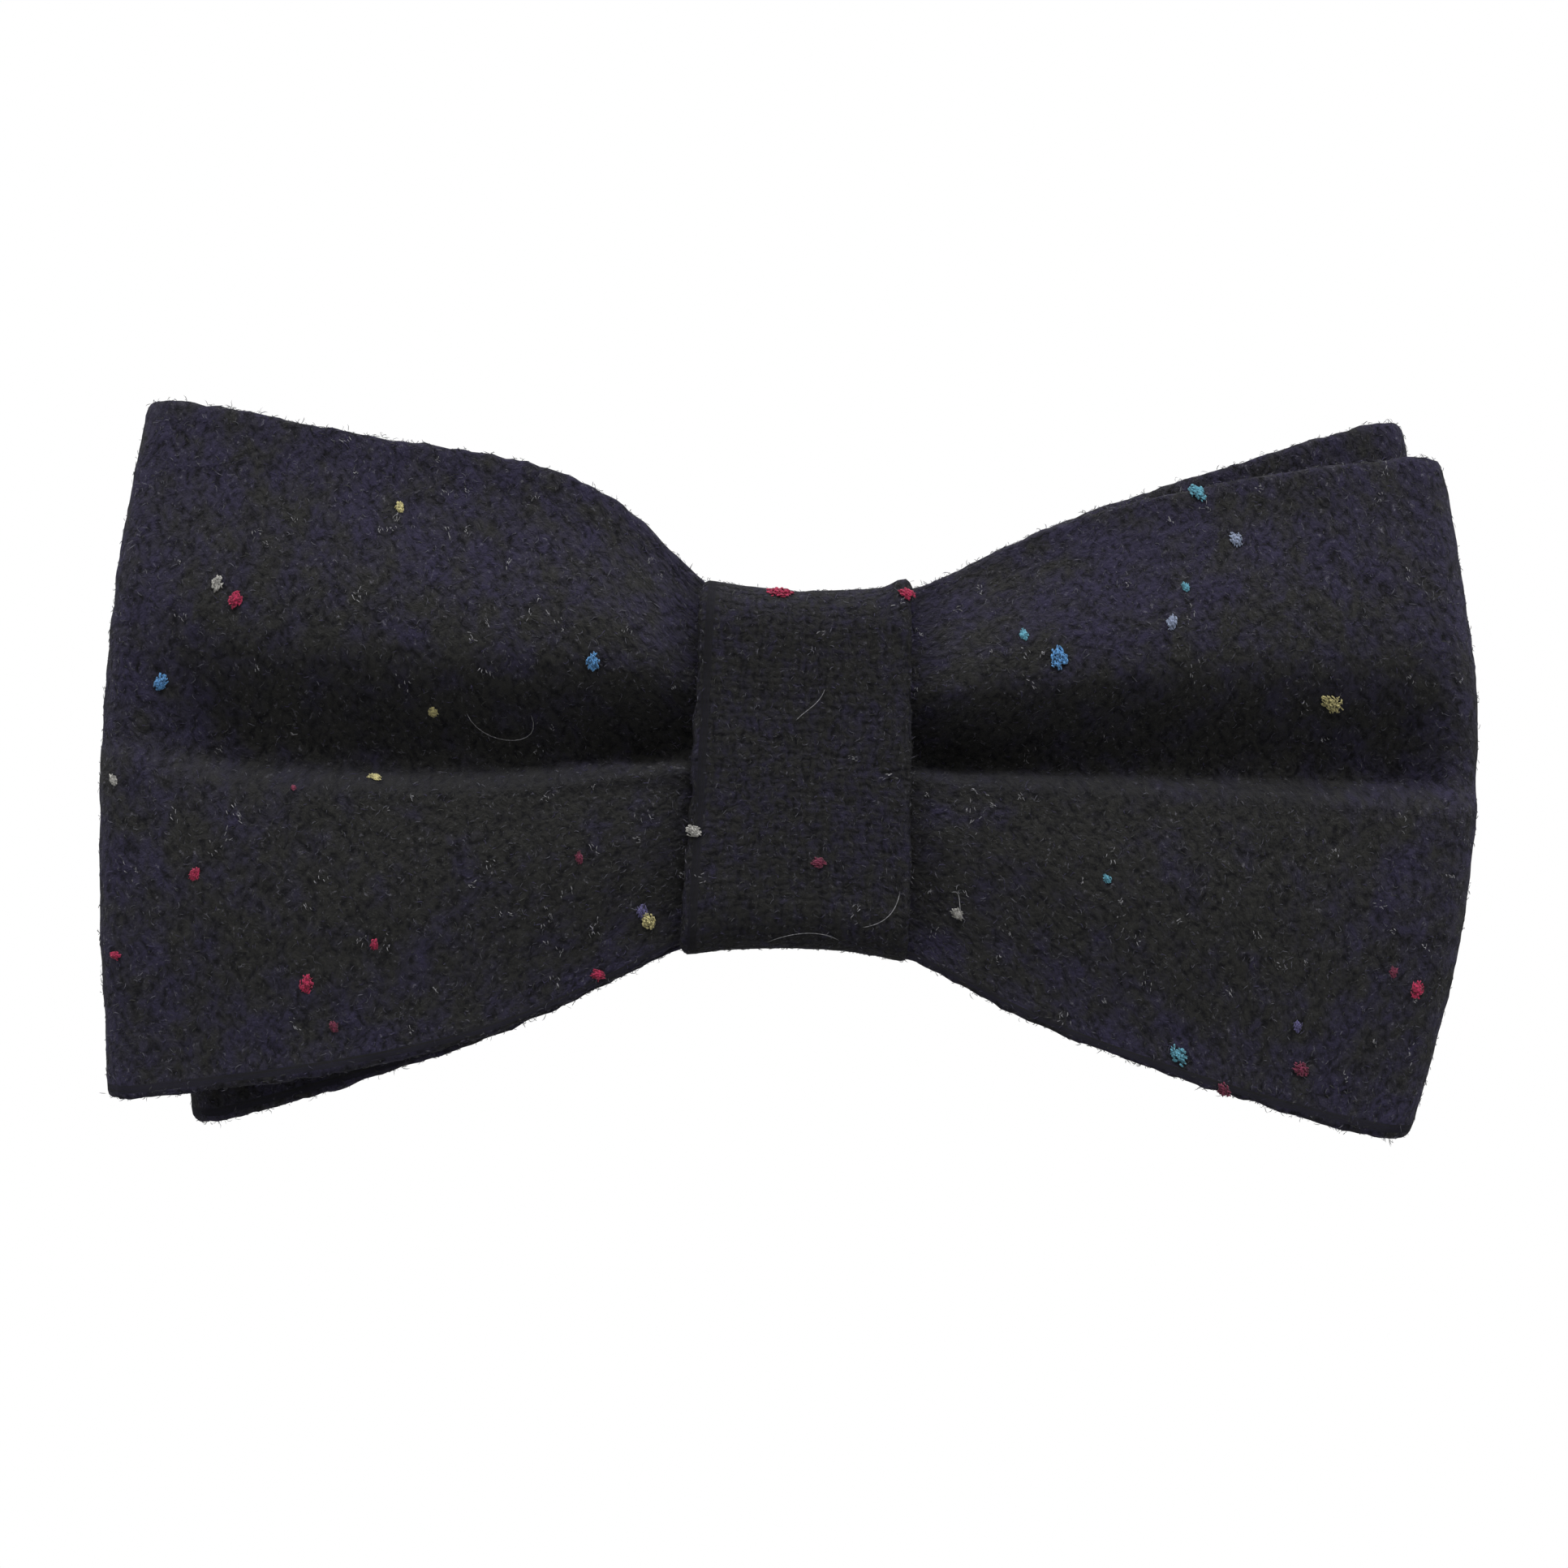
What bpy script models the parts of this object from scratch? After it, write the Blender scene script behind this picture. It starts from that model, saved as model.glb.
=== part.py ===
"""Clip-on bow tie in wool tweed.

Two bows, each a folded strip sewn as a tube over an interlining, lie one behind the other. A thread
binds their waist, a knot band wraps it, and a sprung alligator clip is sewn to the knot's back.
Frame: +X along the wings, -Y is the face that shows, +Z up. The origin is on the back of the clip's
fixed jaw, the face that lies on the collar. Lengths are in millimetres until a mesh is made.
"""

import math

import bmesh
import bpy
from mathutils import Vector

MM = 0.001

# Bows: overall outline
KNOT_EDGE = 9.5            # the wings start here, beside the knot
# Each bow's tips, from the knot's middle, to the right (side 1) and to the left (side -1)
TIP = {"front": {1: 59.4, -1: 61.3}, "rear": {1: 56.5, -1: 56.5}}
WAIST_HALF = 11.4          # half the height of the bows where the knot pinches them
ROOT_HALF = 15.5           # half the height of a wing where it leaves the knot
FLARE_START, FLARE_END = 9.9, 12.3
# Half height of a wing at u, from 0 at the knot to 1 at the tip, for each side and each half:
# ROOT_HALF + swell * (1 - exp(-(u / span) ** FLARE_POWER)) + slope * u
FLARE_POWER = 1.3
FLARE = {
    "front": {
        (1, 1): (9.2, 0.24, 5.0), (1, -1): (8.5, 0.28, 7.2),
        (-1, 1): (8.6, 0.115, 5.9), (-1, -1): (9.0, 0.27, 7.0),
    },
    "rear": {
        (1, 1): (6.0, 0.26, 7.3), (1, -1): (7.5, 0.28, 5.5),
        (-1, 1): (7.5, 0.20, 5.0), (-1, -1): (5.0, 0.28, 10.5),
    },
}
# How far each corner of a wing's end falls short of the middle of that end
CORNER_BACK = {(1, 1): 4.4, (1, -1): 5.0, (-1, 1): 3.9, (-1, -1): 1.7}
REAR_CORNER_BACK = {(1, 1): 2.0, (1, -1): 4.0, (-1, 1): 4.0, (-1, -1): 1.6}
REAR_TURN = math.radians(3.25)

# Bows: cloth and pleat
SKIN = 0.5                 # one thickness of tweed
CORE = 0.4                 # interlining
LAYER_GAP = 0.3
PLY = 2 * SKIN + 2 * LAYER_GAP + CORE
TURNED_EDGE = 1.4          # cloth folded in along both edges of a strip
FOLD_REACH = 2.6           # how far the fold at a tip reaches past the flat part of the wing
END_GAP = 0.4              # half the gap where a strip's ends meet behind the knot
UPPER_RISE = 0.36          # share of the half height over which the pleat's upper side rises
LOWER_RISE = 0.13
LOBE_FALL = 0.85
# Each outer face's depth at the waist, in the wing and at the tip, then its lobes' depth there
PLACES = (9.5, 15.0)       # the waist ends and the wing begins
FACES = {
    ("front", "front"): ((-16.4, -15.4, -14.6), (1.6, 5.6, 2.0)),
    ("front", "back"): ((-11.65, -9.8, -8.6), (1.6, 0.4, 0.2)),
    ("rear", "front"): ((-10.7, -9.1, -7.8), (1.6, 0.4, 0.2)),
    ("rear", "back"): ((-5.95, -3.8, -2.2), (1.6, -1.8, -1.5)),
}
FRONT_COLUMNS = (-1, -0.75, -0.45, -0.16, -0.06, 0, 0.12, 0.3, 0.5, 0.78, 1)
REAR_COLUMNS = (-1, -0.66, -0.33, 0, 0.33, 0.66, 1)
FRONT_STATIONS = (0, 7, 9.8, 10.9, 12.5, 16, 22, 31, 42, 51)
BACK_STATIONS = (51, 40, 28, 17, 12.5, 10.9, 9.8, 7)
FOLD_STEPS = 4

# Knot band
KNOT_HALF_WIDTH = 9.35
KNOT_TAPER = 0.33          # the band is this much narrower than that at the top, and wider at the foot
KNOT_CENTRE_Z = -0.5
KNOT_HALF_HEIGHT = 15.5
KNOT_FRONT, KNOT_BACK = -21.7, -2.15
KNOT_CORNER = 4.0
KNOT_SKIN = 0.6
KNOT_CORE = 0.8
KNOT_PLY = 2 * KNOT_SKIN + 2 * LAYER_GAP + KNOT_CORE
KNOT_EDGE_ROLL = 0.6       # the front face falls back this far at the band's edges
KNOT_EDGE_FLARE = 0.8      # top and bottom stand out this much more at the band's edges
KNOT_TURNED_EDGE = 1.4
KNOT_SEAM_HALF = 0.3

# Threads
THREAD = 0.22              # radius of sewing thread
BINDING = 0.25             # radius of the waist binding
BINDING_TURNS = 3
BINDING_PITCH = 1.1
BINDING_CORNER = 1.0
SEAM_HALF_LENGTH = 5.5
CLIP_STITCH_X = 7.6

# Clip
PLATE_HALF_LENGTH = 22.0
PLATE_HALF_WIDTH = 4.75
PLATE = 0.8
PAD = 0.25                 # the plate's pressed-up grip pad, whose face is at Y = 0
PAD_ENDS = (-6.4, 6.4)
PAD_HALF_WIDTH = 3.4
PLATE_FRONT = -PAD - PLATE
JAW_TAPER = 0.5
EAR = 0.7
PIVOT_X, PIVOT_Y = -11.0, 4.0
EAR_RADIUS = 2.2
HOLE_RADIUS = 1.15
PIN_RADIUS = 0.8
PIN_HEAD_RADIUS = 1.5
PIN_HEAD = 0.5
LEVER = 0.7
LEVER_EAR_OUT = 3.7
LEVER_EAR_RADIUS = 1.9
# The lever's inner face: x, y and half width, from the thumb tab to the biting edge
LEVER_LINE = (
    (-23.0, 9.6, 3.6), (-22.0, 9.25, 4.4), (-19.0, 8.2, 4.6), (-15.5, 7.0, 4.6), (-13.0, 6.6, 3.8),
    (-9.0, 6.6, 3.7), (-4.0, 6.6, 3.9), (4.0, 6.3, 4.2), (10.0, 5.6, 4.2), (15.0, 4.2, 4.1),
    (19.0, 2.4, 3.9), (20.8, 1.4, 3.8), (21.4, 0.8, 3.7),
)
LEVER_COLUMNS = 9
TOOTH = 0.5
SPRING_RADIUS = 1.6
SPRING_WIRE = 0.3
SPRING_TURNS = 3.5
SPRING_HALF_WIDTH = 2.0

COLOURS = {
    "tweed": (0.020, 0.019, 0.026, 0.95, 0.0),
    "interlining": (0.030, 0.030, 0.033, 0.9, 0.0),
    "thread": (0.025, 0.025, 0.035, 0.7, 0.0),
    "steel": (0.62, 0.63, 0.65, 0.32, 1.0),
}


def material(name):
    """The Principled material of that name, made once."""
    if name in bpy.data.materials:
        return bpy.data.materials[name]
    red, green, blue, roughness, metallic = COLOURS[name]
    made = bpy.data.materials.new(name)
    made.use_nodes = True
    shader = made.node_tree.nodes["Principled BSDF"]
    shader.inputs["Base Color"].default_value = (red, green, blue, 1)
    shader.inputs["Roughness"].default_value = roughness
    shader.inputs["Metallic"].default_value = metallic
    return made


def add_object(name, points, faces, material_name, origin=(0, 0, 0)):
    """A closed mesh object from points in millimetres, placed at origin, with its faces turned out."""
    place = Vector(origin)
    mesh = bpy.data.meshes.new(name)
    mesh.from_pydata([(Vector(p) - place) * MM for p in points], [], faces)
    cleaner = bmesh.new()
    cleaner.from_mesh(mesh)
    bmesh.ops.recalc_face_normals(cleaner, faces=cleaner.faces)
    cleaner.to_mesh(mesh)
    cleaner.free()
    mesh.shade_smooth()
    mesh.set_sharp_from_angle(angle=math.radians(40))
    mesh.materials.append(material(material_name))
    made = bpy.data.objects.new(name, mesh)
    made.location = place * MM
    bpy.context.collection.objects.link(made)
    return made


def strip(rows, cols, start):
    """Triangles of a grid of rows by cols points whose first point has the index start."""
    faces = []
    for i in range(rows - 1):
        for j in range(cols - 1):
            a = start + i * cols + j
            b, c, d = a + 1, a + cols, a + cols + 1
            faces += [(a, c, d), (a, d, b)]
    return faces


def rim(index, rows, cols, first, second, ends=True):
    """Triangles that join the borders of two grids, with or without their two ends."""
    faces = []
    for i in range(rows - 1):
        for j in (0, cols - 1):
            a, b = index(first, i, j), index(first, i + 1, j)
            c, d = index(second, i, j), index(second, i + 1, j)
            faces += [(a, b, d), (a, d, c)]
    if ends:
        faces += end_faces(index, rows, cols, first, second)
    return faces


def end_faces(index, rows, cols, first, second):
    """Triangles between two grids along their first and last rows."""
    faces = []
    for i in (0, rows - 1):
        for j in range(cols - 1):
            a, b = index(first, i, j), index(first, i, j + 1)
            c, d = index(second, i, j), index(second, i, j + 1)
            faces += [(a, b, d), (a, d, c)]
    return faces


def sheet(name, outer, inner, material_name, origin=(0, 0, 0)):
    """A solid between two grids of points."""
    rows, cols = len(outer), len(outer[0])
    points = [p for grid in (outer, inner) for row in grid for p in row]

    def index(grid, i, j):
        return grid * rows * cols + i * cols + j

    faces = strip(rows, cols, 0) + strip(rows, cols, rows * cols)
    faces += rim(index, rows, cols, 0, 1)
    return add_object(name, points, faces, material_name, origin)


def sewn_tube(name, outer, inner, hollow_outer, hollow_inner, material_name):
    """A flat tube of cloth, open at its two ends: its outside grids, then its hollow's grids."""
    rows, cols = len(outer), len(outer[0])
    grids = (outer, inner, hollow_outer, hollow_inner)
    points = [p for grid in grids for row in grid for p in row]

    def index(grid, i, j):
        return grid * rows * cols + i * cols + j

    faces = []
    for number in range(4):
        faces += strip(rows, cols, number * rows * cols)
    faces += rim(index, rows, cols, 0, 1, ends=False) + rim(index, rows, cols, 2, 3, ends=False)
    faces += end_faces(index, rows, cols, 0, 2) + end_faces(index, rows, cols, 1, 3)
    for i in (0, rows - 1):
        for j in (0, cols - 1):
            a, b, c, d = (index(g, i, j) for g in (0, 2, 3, 1))
            faces += [(a, b, c), (a, c, d)]
    return add_object(name, points, faces, material_name)


def thread(name, path, radius, material_name, closed=False, sides=6):
    """A round thread or wire along a path of points, with flat ends unless it is closed."""
    path = [Vector(p) for p in path]
    count = len(path)
    side = Vector((0, 0, 1)) if abs((path[1] - path[0]).normalized().z) < 0.9 else Vector((1, 0, 0))
    points, faces = [], []
    for i, here in enumerate(path):
        before = path[i - 1] if i or closed else here
        after = path[(i + 1) % count] if i < count - 1 or closed else here
        along = (after - before).normalized()
        side = (side - along * side.dot(along)).normalized()
        up = along.cross(side)
        for k in range(sides):
            turn = 2 * math.pi * k / sides
            points.append(here + radius * (math.cos(turn) * side + math.sin(turn) * up))
    for i in range(count if closed else count - 1):
        for k in range(sides):
            a, b = i * sides + k, i * sides + (k + 1) % sides
            c, d = (a + sides) % len(points), (b + sides) % len(points)
            faces.append((a, b, d, c))
    if not closed:
        faces += [tuple(range(sides)), tuple(range(len(points) - sides, len(points)))]
    return add_object(name, points, faces, material_name)


def ease(low, high, value):
    """0 below low, 1 above high, and a smooth step between them."""
    t = min(max((value - low) / (high - low), 0), 1)
    return t * t * (3 - 2 * t)


def three_places(values, reach, u):
    """A value that goes from the waist's to the wing's, and then straight to the tip's."""
    waist, wing, tip = values
    step = ease(*PLACES, reach)
    return waist + (wing - waist) * step + (tip - wing) * u


def lobes(zeta, reach):
    """The front pleat's height across a wing: two round lobes with a sharp valley between them."""
    t = abs(zeta)
    soft = (1 - math.cos(2 * math.pi * t)) / 2
    rise = UPPER_RISE if zeta > 0 else LOWER_RISE
    sharp = math.sin(math.pi / 2 * min(t / rise, 1)) * (1 - LOBE_FALL * ease(0.4, 1, t))
    share = ease(9.0, 14.0, reach)
    return soft + (sharp - soft) * share


def back_lobes(zeta):
    return (1 - math.cos(2 * math.pi * abs(zeta))) / 2


def half_height(bow, side, half, reach, u):
    swell, span, slope = FLARE[bow][side, half]
    full = ROOT_HALF + swell * (1 - math.exp(-((u / span) ** FLARE_POWER))) + slope * u
    return WAIST_HALF + (full - WAIST_HALF) * ease(FLARE_START, FLARE_END, reach)


def depth(bow, face, zeta, reach, u):
    """Y of one face of a bow: its base less its lobes, which stand to the front."""
    base, height = FACES[bow, face]
    shape = lobes(zeta, reach) if (bow, face) == ("front", "front") else back_lobes(zeta)
    return three_places(base, reach, u) - three_places(height, reach, u) * shape


def bow_point(bow, side, place, zeta, inset):
    """A point of a bow's strip, inset from its outer face.

    place is ("front", x), ("fold", angle) or ("back", x), and zeta goes from -1 at the strip's lower
    edge to 1 at its upper edge.
    """
    kind, value = place
    half = 1 if zeta > 0 else -1
    tip = TIP[bow][side]
    flat_end = tip - FOLD_REACH
    reach = flat_end if kind == "fold" else min(value, flat_end)
    u = max(reach - KNOT_EDGE, 0) / (tip - KNOT_EDGE)
    corner = (CORNER_BACK if bow == "front" else REAR_CORNER_BACK)[side, half]
    x = reach - corner * abs(zeta) ** 2.2 * ease(0.4, 1, u)
    z = zeta * half_height(bow, side, half, reach, u)
    front = depth(bow, "front", zeta, reach, u)
    back = depth(bow, "back", zeta, reach, u)
    angle = {"front": 0, "back": math.pi}.get(kind, value)
    middle, radius = (front + back) / 2, (back - front) / 2
    if kind == "fold":
        x += (FOLD_REACH - inset) * math.sin(angle)
        y = middle - (radius - inset) * math.cos(angle)
    else:
        y = front + inset if kind == "front" else back - inset
    x *= side
    if bow == "rear":
        cos, sin = math.cos(REAR_TURN), math.sin(REAR_TURN)
        x, z = x * cos - z * sin, x * sin + z * cos
    return Vector((x, y, z))


def bow_places():
    """Side and place of each row of a strip, from its right end behind the knot round to its left end."""
    half = [("front", x) for x in FRONT_STATIONS[1:]]
    half += [("fold", math.pi * k / FOLD_STEPS) for k in range(FOLD_STEPS + 1)]
    half += [("back", x) for x in BACK_STATIONS] + [("back", END_GAP)]
    right = [(1, place) for place in reversed(half)]
    left = [(-1, place) for place in half]
    return right + [(1, ("front", 0))] + left


def bow_grid(bow, columns, inset, edge=0.0):
    """A grid of a strip's points at one depth in the cloth, its edges drawn in by edge."""
    shrink = 1 - edge / 30.0
    zetas = [columns[0] * shrink, *columns[1:-1], columns[-1] * shrink]
    return [[bow_point(bow, side, place, z, inset) for z in zetas] for side, place in bow_places()]


def make_bow(bow, columns):
    """The tweed strip of one bow, and the interlining in it."""
    hollow_edge = TURNED_EDGE
    core_edge = TURNED_EDGE + LAYER_GAP
    core_in = SKIN + LAYER_GAP
    sewn_tube(
        f"{bow}_bow_shell",
        bow_grid(bow, columns, 0), bow_grid(bow, columns, PLY),
        bow_grid(bow, columns, SKIN, hollow_edge), bow_grid(bow, columns, PLY - SKIN, hollow_edge),
        "tweed",
    )
    sheet(
        f"{bow}_bow_interlining",
        bow_grid(bow, columns, core_in, core_edge), bow_grid(bow, columns, core_in + CORE, core_edge),
        "interlining",
    )


def rounded_loop(half_z, front, back, radius, corner_steps=4, inset=0.0, gap=0.0):
    """(y, z) points round a rectangle with round corners, from its back's middle upwards and round."""
    flat_z = half_z - radius
    turn = math.pi / 2 / corner_steps
    points = [(back - inset, gap), (back - inset, flat_z * 0.55)]
    corners = ((back, 1, 0), (front, 1, 1), (front, -1, 2), (back, -1, 3))
    for edge, up, quarter in corners:
        centre_y = edge + radius if edge == front else edge - radius
        centre_z = up * flat_z
        for k in range(corner_steps + 1):
            angle = math.pi / 2 * quarter + turn * k
            reach = radius - inset
            points.append((centre_y + reach * math.cos(angle), centre_z + reach * math.sin(angle)))
        if quarter == 1:
            points += [(front + inset, flat_z * share) for share in (0.5, 0, -0.5)]
    points += [(back - inset, -flat_z * 0.55), (back - inset, -gap)]
    return points


def knot_grid(inset, edge=0.0):
    """A grid of the knot band's points at one depth in the cloth, its edges drawn in by edge."""
    rows = []
    loop = rounded_loop(KNOT_HALF_HEIGHT, KNOT_FRONT, KNOT_BACK, KNOT_CORNER, 4, inset, KNOT_SEAM_HALF)
    for y, z in loop:
        half = KNOT_HALF_WIDTH - KNOT_TAPER * z / KNOT_HALF_HEIGHT - edge
        frontness = ease(-8, KNOT_FRONT, y)
        row = []
        for share in (-1, -0.6, 0, 0.6, 1):
            out = (share * half / KNOT_HALF_WIDTH) ** 2
            stretch = 1 + KNOT_EDGE_FLARE * out / KNOT_HALF_HEIGHT
            roll = KNOT_EDGE_ROLL * out * frontness
            row.append(Vector((share * half, y + roll, z * stretch + KNOT_CENTRE_Z)))
        rows.append(row)
    return rows


def make_knot():
    core_in = KNOT_SKIN + LAYER_GAP
    sewn_tube(
        "knot_wrap",
        knot_grid(0), knot_grid(KNOT_PLY),
        knot_grid(KNOT_SKIN, KNOT_TURNED_EDGE), knot_grid(KNOT_PLY - KNOT_SKIN, KNOT_TURNED_EDGE),
        "tweed",
    )
    core_edge = KNOT_TURNED_EDGE + LAYER_GAP
    sheet(
        "knot_interlining",
        knot_grid(core_in, core_edge), knot_grid(core_in + KNOT_CORE, core_edge),
        "interlining",
    )


def make_threads():
    """The waist binding, the seam that closes the knot band, and the clip's two stitches."""
    clear = LAYER_GAP + BINDING
    front = FACES["front", "front"][0][0] - FACES["front", "front"][1][0] - clear
    back = FACES["rear", "back"][0][0] + clear
    turn = rounded_loop(WAIST_HALF + clear, front, back, BINDING_CORNER)
    count = len(turn) * BINDING_TURNS
    start = -BINDING_PITCH * BINDING_TURNS / 2
    path = []
    for k in range(count):
        y, z = turn[k % len(turn)]
        path.append((start + BINDING_PITCH * k / len(turn), y, z))
    thread("waist_binding", path, BINDING, "thread", sides=5)

    seam_y = (KNOT_BACK + PLATE_FRONT) / 2
    steps = 10
    zigzag = []
    for k in range(steps + 1):
        x = SEAM_HALF_LENGTH * (2 * k / steps - 1)
        zigzag.append((x, seam_y, 1.4 if k % 2 else -1.4))
    thread("knot_seam_thread", zigzag, THREAD, "thread", sides=6)

    for side, word in ((-1, "left"), (1, "right")):
        loop = rounded_loop(PLATE_HALF_WIDTH + 0.6, seam_y, PLATE_FRONT - PAD - seam_y, 0.9, 3)
        path = [(side * CLIP_STITCH_X, y, z) for y, z in loop]
        thread(f"clip_stitch_{word}", path, THREAD, "thread", closed=True)


def extruded(name, outline, low, high, material_name, axis):
    """A prism on an outline of (x, other) points, from low to high along axis, "y" or "z"."""
    def point(a, b, level):
        return (a, level, b) if axis == "y" else (a, b, level)

    count = len(outline)
    points = [point(a, b, level) for level in (low, high) for a, b in outline]
    faces = [tuple(range(count)), tuple(range(2 * count - 1, count - 1, -1))]
    for k in range(count):
        after = (k + 1) % count
        faces.append((k, after, count + after, count + k))
    return add_object(name, points, faces, material_name)


def join_to(target, tool, operation):
    """Give target a Boolean with tool, which is left out of the model."""
    tool.hide_render = True
    tool.display_type = "WIRE"
    cut = target.modifiers.new(tool.name, "BOOLEAN")
    cut.object = tool
    cut.operation = operation
    cut.solver = "EXACT"


def disc(radius, count=20):
    turns = [2 * math.pi * k / count for k in range(count)]
    return [(PIVOT_X + radius * math.cos(t), PIVOT_Y + radius * math.sin(t)) for t in turns]


def ear_outline(radius, foot):
    """An ear's side: round about the pivot, with straight sides to foot."""
    steps = 10
    up = 1 if foot < PIVOT_Y else -1
    outline = []
    for k in range(steps + 1):
        angle = math.pi * k / steps
        outline.append((PIVOT_X + radius * math.cos(angle), PIVOT_Y + up * radius * math.sin(angle)))
    return outline + [(PIVOT_X - radius, foot), (PIVOT_X + radius, foot)]


def add_ears(target, radius, foot, inner, outer):
    """Two ears on target, drilled for the hinge pin."""
    for sign, word in ((-1, "lower"), (1, "upper")):
        low, high = sorted((sign * inner, sign * outer))
        ear = extruded(f"{target.name}_{word}_ear", ear_outline(radius, foot), low, high, "steel", "z")
        join_to(target, ear, "UNION")
    drill = extruded(f"{target.name}_drill", disc(HOLE_RADIUS), -8, 8, "steel", "z")
    join_to(target, drill, "DIFFERENCE")


def rounded_outline(left, right, left_half, right_half, corner, steps=4):
    """(x, z) points round a plate whose left and right ends have their own half widths."""
    outline = []
    for side, up, quarter in ((1, 1, 0), (-1, 1, 1), (-1, -1, 2), (1, -1, 3)):
        end, half = (right, right_half) if side > 0 else (left, left_half)
        for k in range(steps + 1):
            angle = math.pi / 2 * (quarter + k / steps)
            x, z = end - side * corner, up * (half - corner)
            outline.append((x + corner * math.cos(angle), z + corner * math.sin(angle)))
    return outline


def make_base_jaw():
    """The clip's fixed jaw: a flat plate with rounded ends, a raised grip pad and two ears."""
    near, far = PLATE_HALF_WIDTH, PLATE_HALF_WIDTH - JAW_TAPER
    outline = rounded_outline(-PLATE_HALF_LENGTH, PLATE_HALF_LENGTH, near, far, 1.6)
    plate = extruded("clip_base_jaw", outline, PLATE_FRONT, -PAD, "steel", "y")
    pad_outline = rounded_outline(*PAD_ENDS, PAD_HALF_WIDTH, PAD_HALF_WIDTH, 1.2)
    pad = extruded("clip_base_pad", pad_outline, PLATE_FRONT + PLATE / 2, 0, "steel", "y")
    join_to(plate, pad, "UNION")
    add_ears(plate, EAR_RADIUS, -PAD - PLATE / 2, PLATE_HALF_WIDTH - EAR, PLATE_HALF_WIDTH)


def make_lever():
    """The sprung jaw: a bent strip with a thumb tab, a toothed edge and two ears."""
    outer, inner = [], []
    last = len(LEVER_LINE) - 1
    for i, (x, y, half) in enumerate(LEVER_LINE):
        before, after = LEVER_LINE[max(i - 1, 0)], LEVER_LINE[min(i + 1, last)]
        along = Vector((after[0] - before[0], after[1] - before[1])).normalized()
        outward = Vector((-along.y, along.x)) * LEVER
        row_in, row_out = [], []
        for j in range(LEVER_COLUMNS):
            z = half * (2 * j / (LEVER_COLUMNS - 1) - 1)
            bite = TOOTH if i == last and j % 2 else 0
            row_in.append((x, y - bite, z))
            row_out.append((x + outward.x, y + outward.y - bite, z))
        inner.append(row_in)
        outer.append(row_out)
    lever = sheet("clip_lever_jaw", outer, inner, "steel", (PIVOT_X, PIVOT_Y, 0))
    add_ears(lever, LEVER_EAR_RADIUS, LEVER_LINE[5][1] + LEVER / 2, LEVER_EAR_OUT - EAR, LEVER_EAR_OUT)


def make_pin():
    """The hinge pin, turned: a shank with a flat head at each end."""
    head_in = PLATE_HALF_WIDTH + LAYER_GAP
    top = head_in + PIN_HEAD
    profile = [
        (PIN_HEAD_RADIUS, -top), (PIN_HEAD_RADIUS, -head_in), (PIN_RADIUS, -head_in),
        (PIN_RADIUS, head_in), (PIN_HEAD_RADIUS, head_in), (PIN_HEAD_RADIUS, top),
    ]
    count = 18
    points, faces = [], []
    for radius, z in profile:
        for k in range(count):
            angle = 2 * math.pi * k / count
            points.append((PIVOT_X + radius * math.cos(angle), PIVOT_Y + radius * math.sin(angle), z))
    for i in range(len(profile) - 1):
        for k in range(count):
            a, b = i * count + k, i * count + (k + 1) % count
            faces.append((a, b, b + count, a + count))
    faces += [tuple(range(count)), tuple(range(len(points) - count, len(points)))]
    add_object("clip_hinge_pin", points, faces, "steel", (PIVOT_X, PIVOT_Y, 0))


def make_spring():
    """The torsion spring: a coil round the pin, with one leg on the plate and one under the thumb tab."""
    steps = round(SPRING_TURNS * 14)
    path = [(-19.5, SPRING_WIRE + 0.35, -SPRING_HALF_WIDTH)]
    for k in range(steps + 1):
        angle = -math.pi / 2 + 2 * math.pi * SPRING_TURNS * k / steps
        z = SPRING_HALF_WIDTH * (2 * k / steps - 1)
        across, up = SPRING_RADIUS * math.cos(angle), SPRING_RADIUS * math.sin(angle)
        path.append((PIVOT_X + across, PIVOT_Y + up, z))
    path.append((-18.5, 6.85, SPRING_HALF_WIDTH))
    thread("clip_spring", path, SPRING_WIRE, "steel", sides=6)


def main():
    for old in list(bpy.data.objects):
        bpy.data.objects.remove(old, do_unlink=True)
    make_bow("front", FRONT_COLUMNS)
    make_bow("rear", REAR_COLUMNS)
    make_knot()
    make_threads()
    make_base_jaw()
    make_lever()
    make_pin()
    make_spring()


main()
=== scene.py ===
"""Looks of the clip-on tweed bow tie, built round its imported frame.

The two bows and the knot band are modelled as the folded cloth strips that they are, with canvas inside,
felted wool, coloured flecks and stray hairs. The clip keeps its shape, with softened edges and a nickel
finish, and its spring is made again as two wires, so that one leg goes with the lever.
Lengths are in millimetres until a mesh is made.
"""

import math

import bmesh
import bpy
import numpy as np
from mathutils import Matrix, Vector, noise


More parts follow.
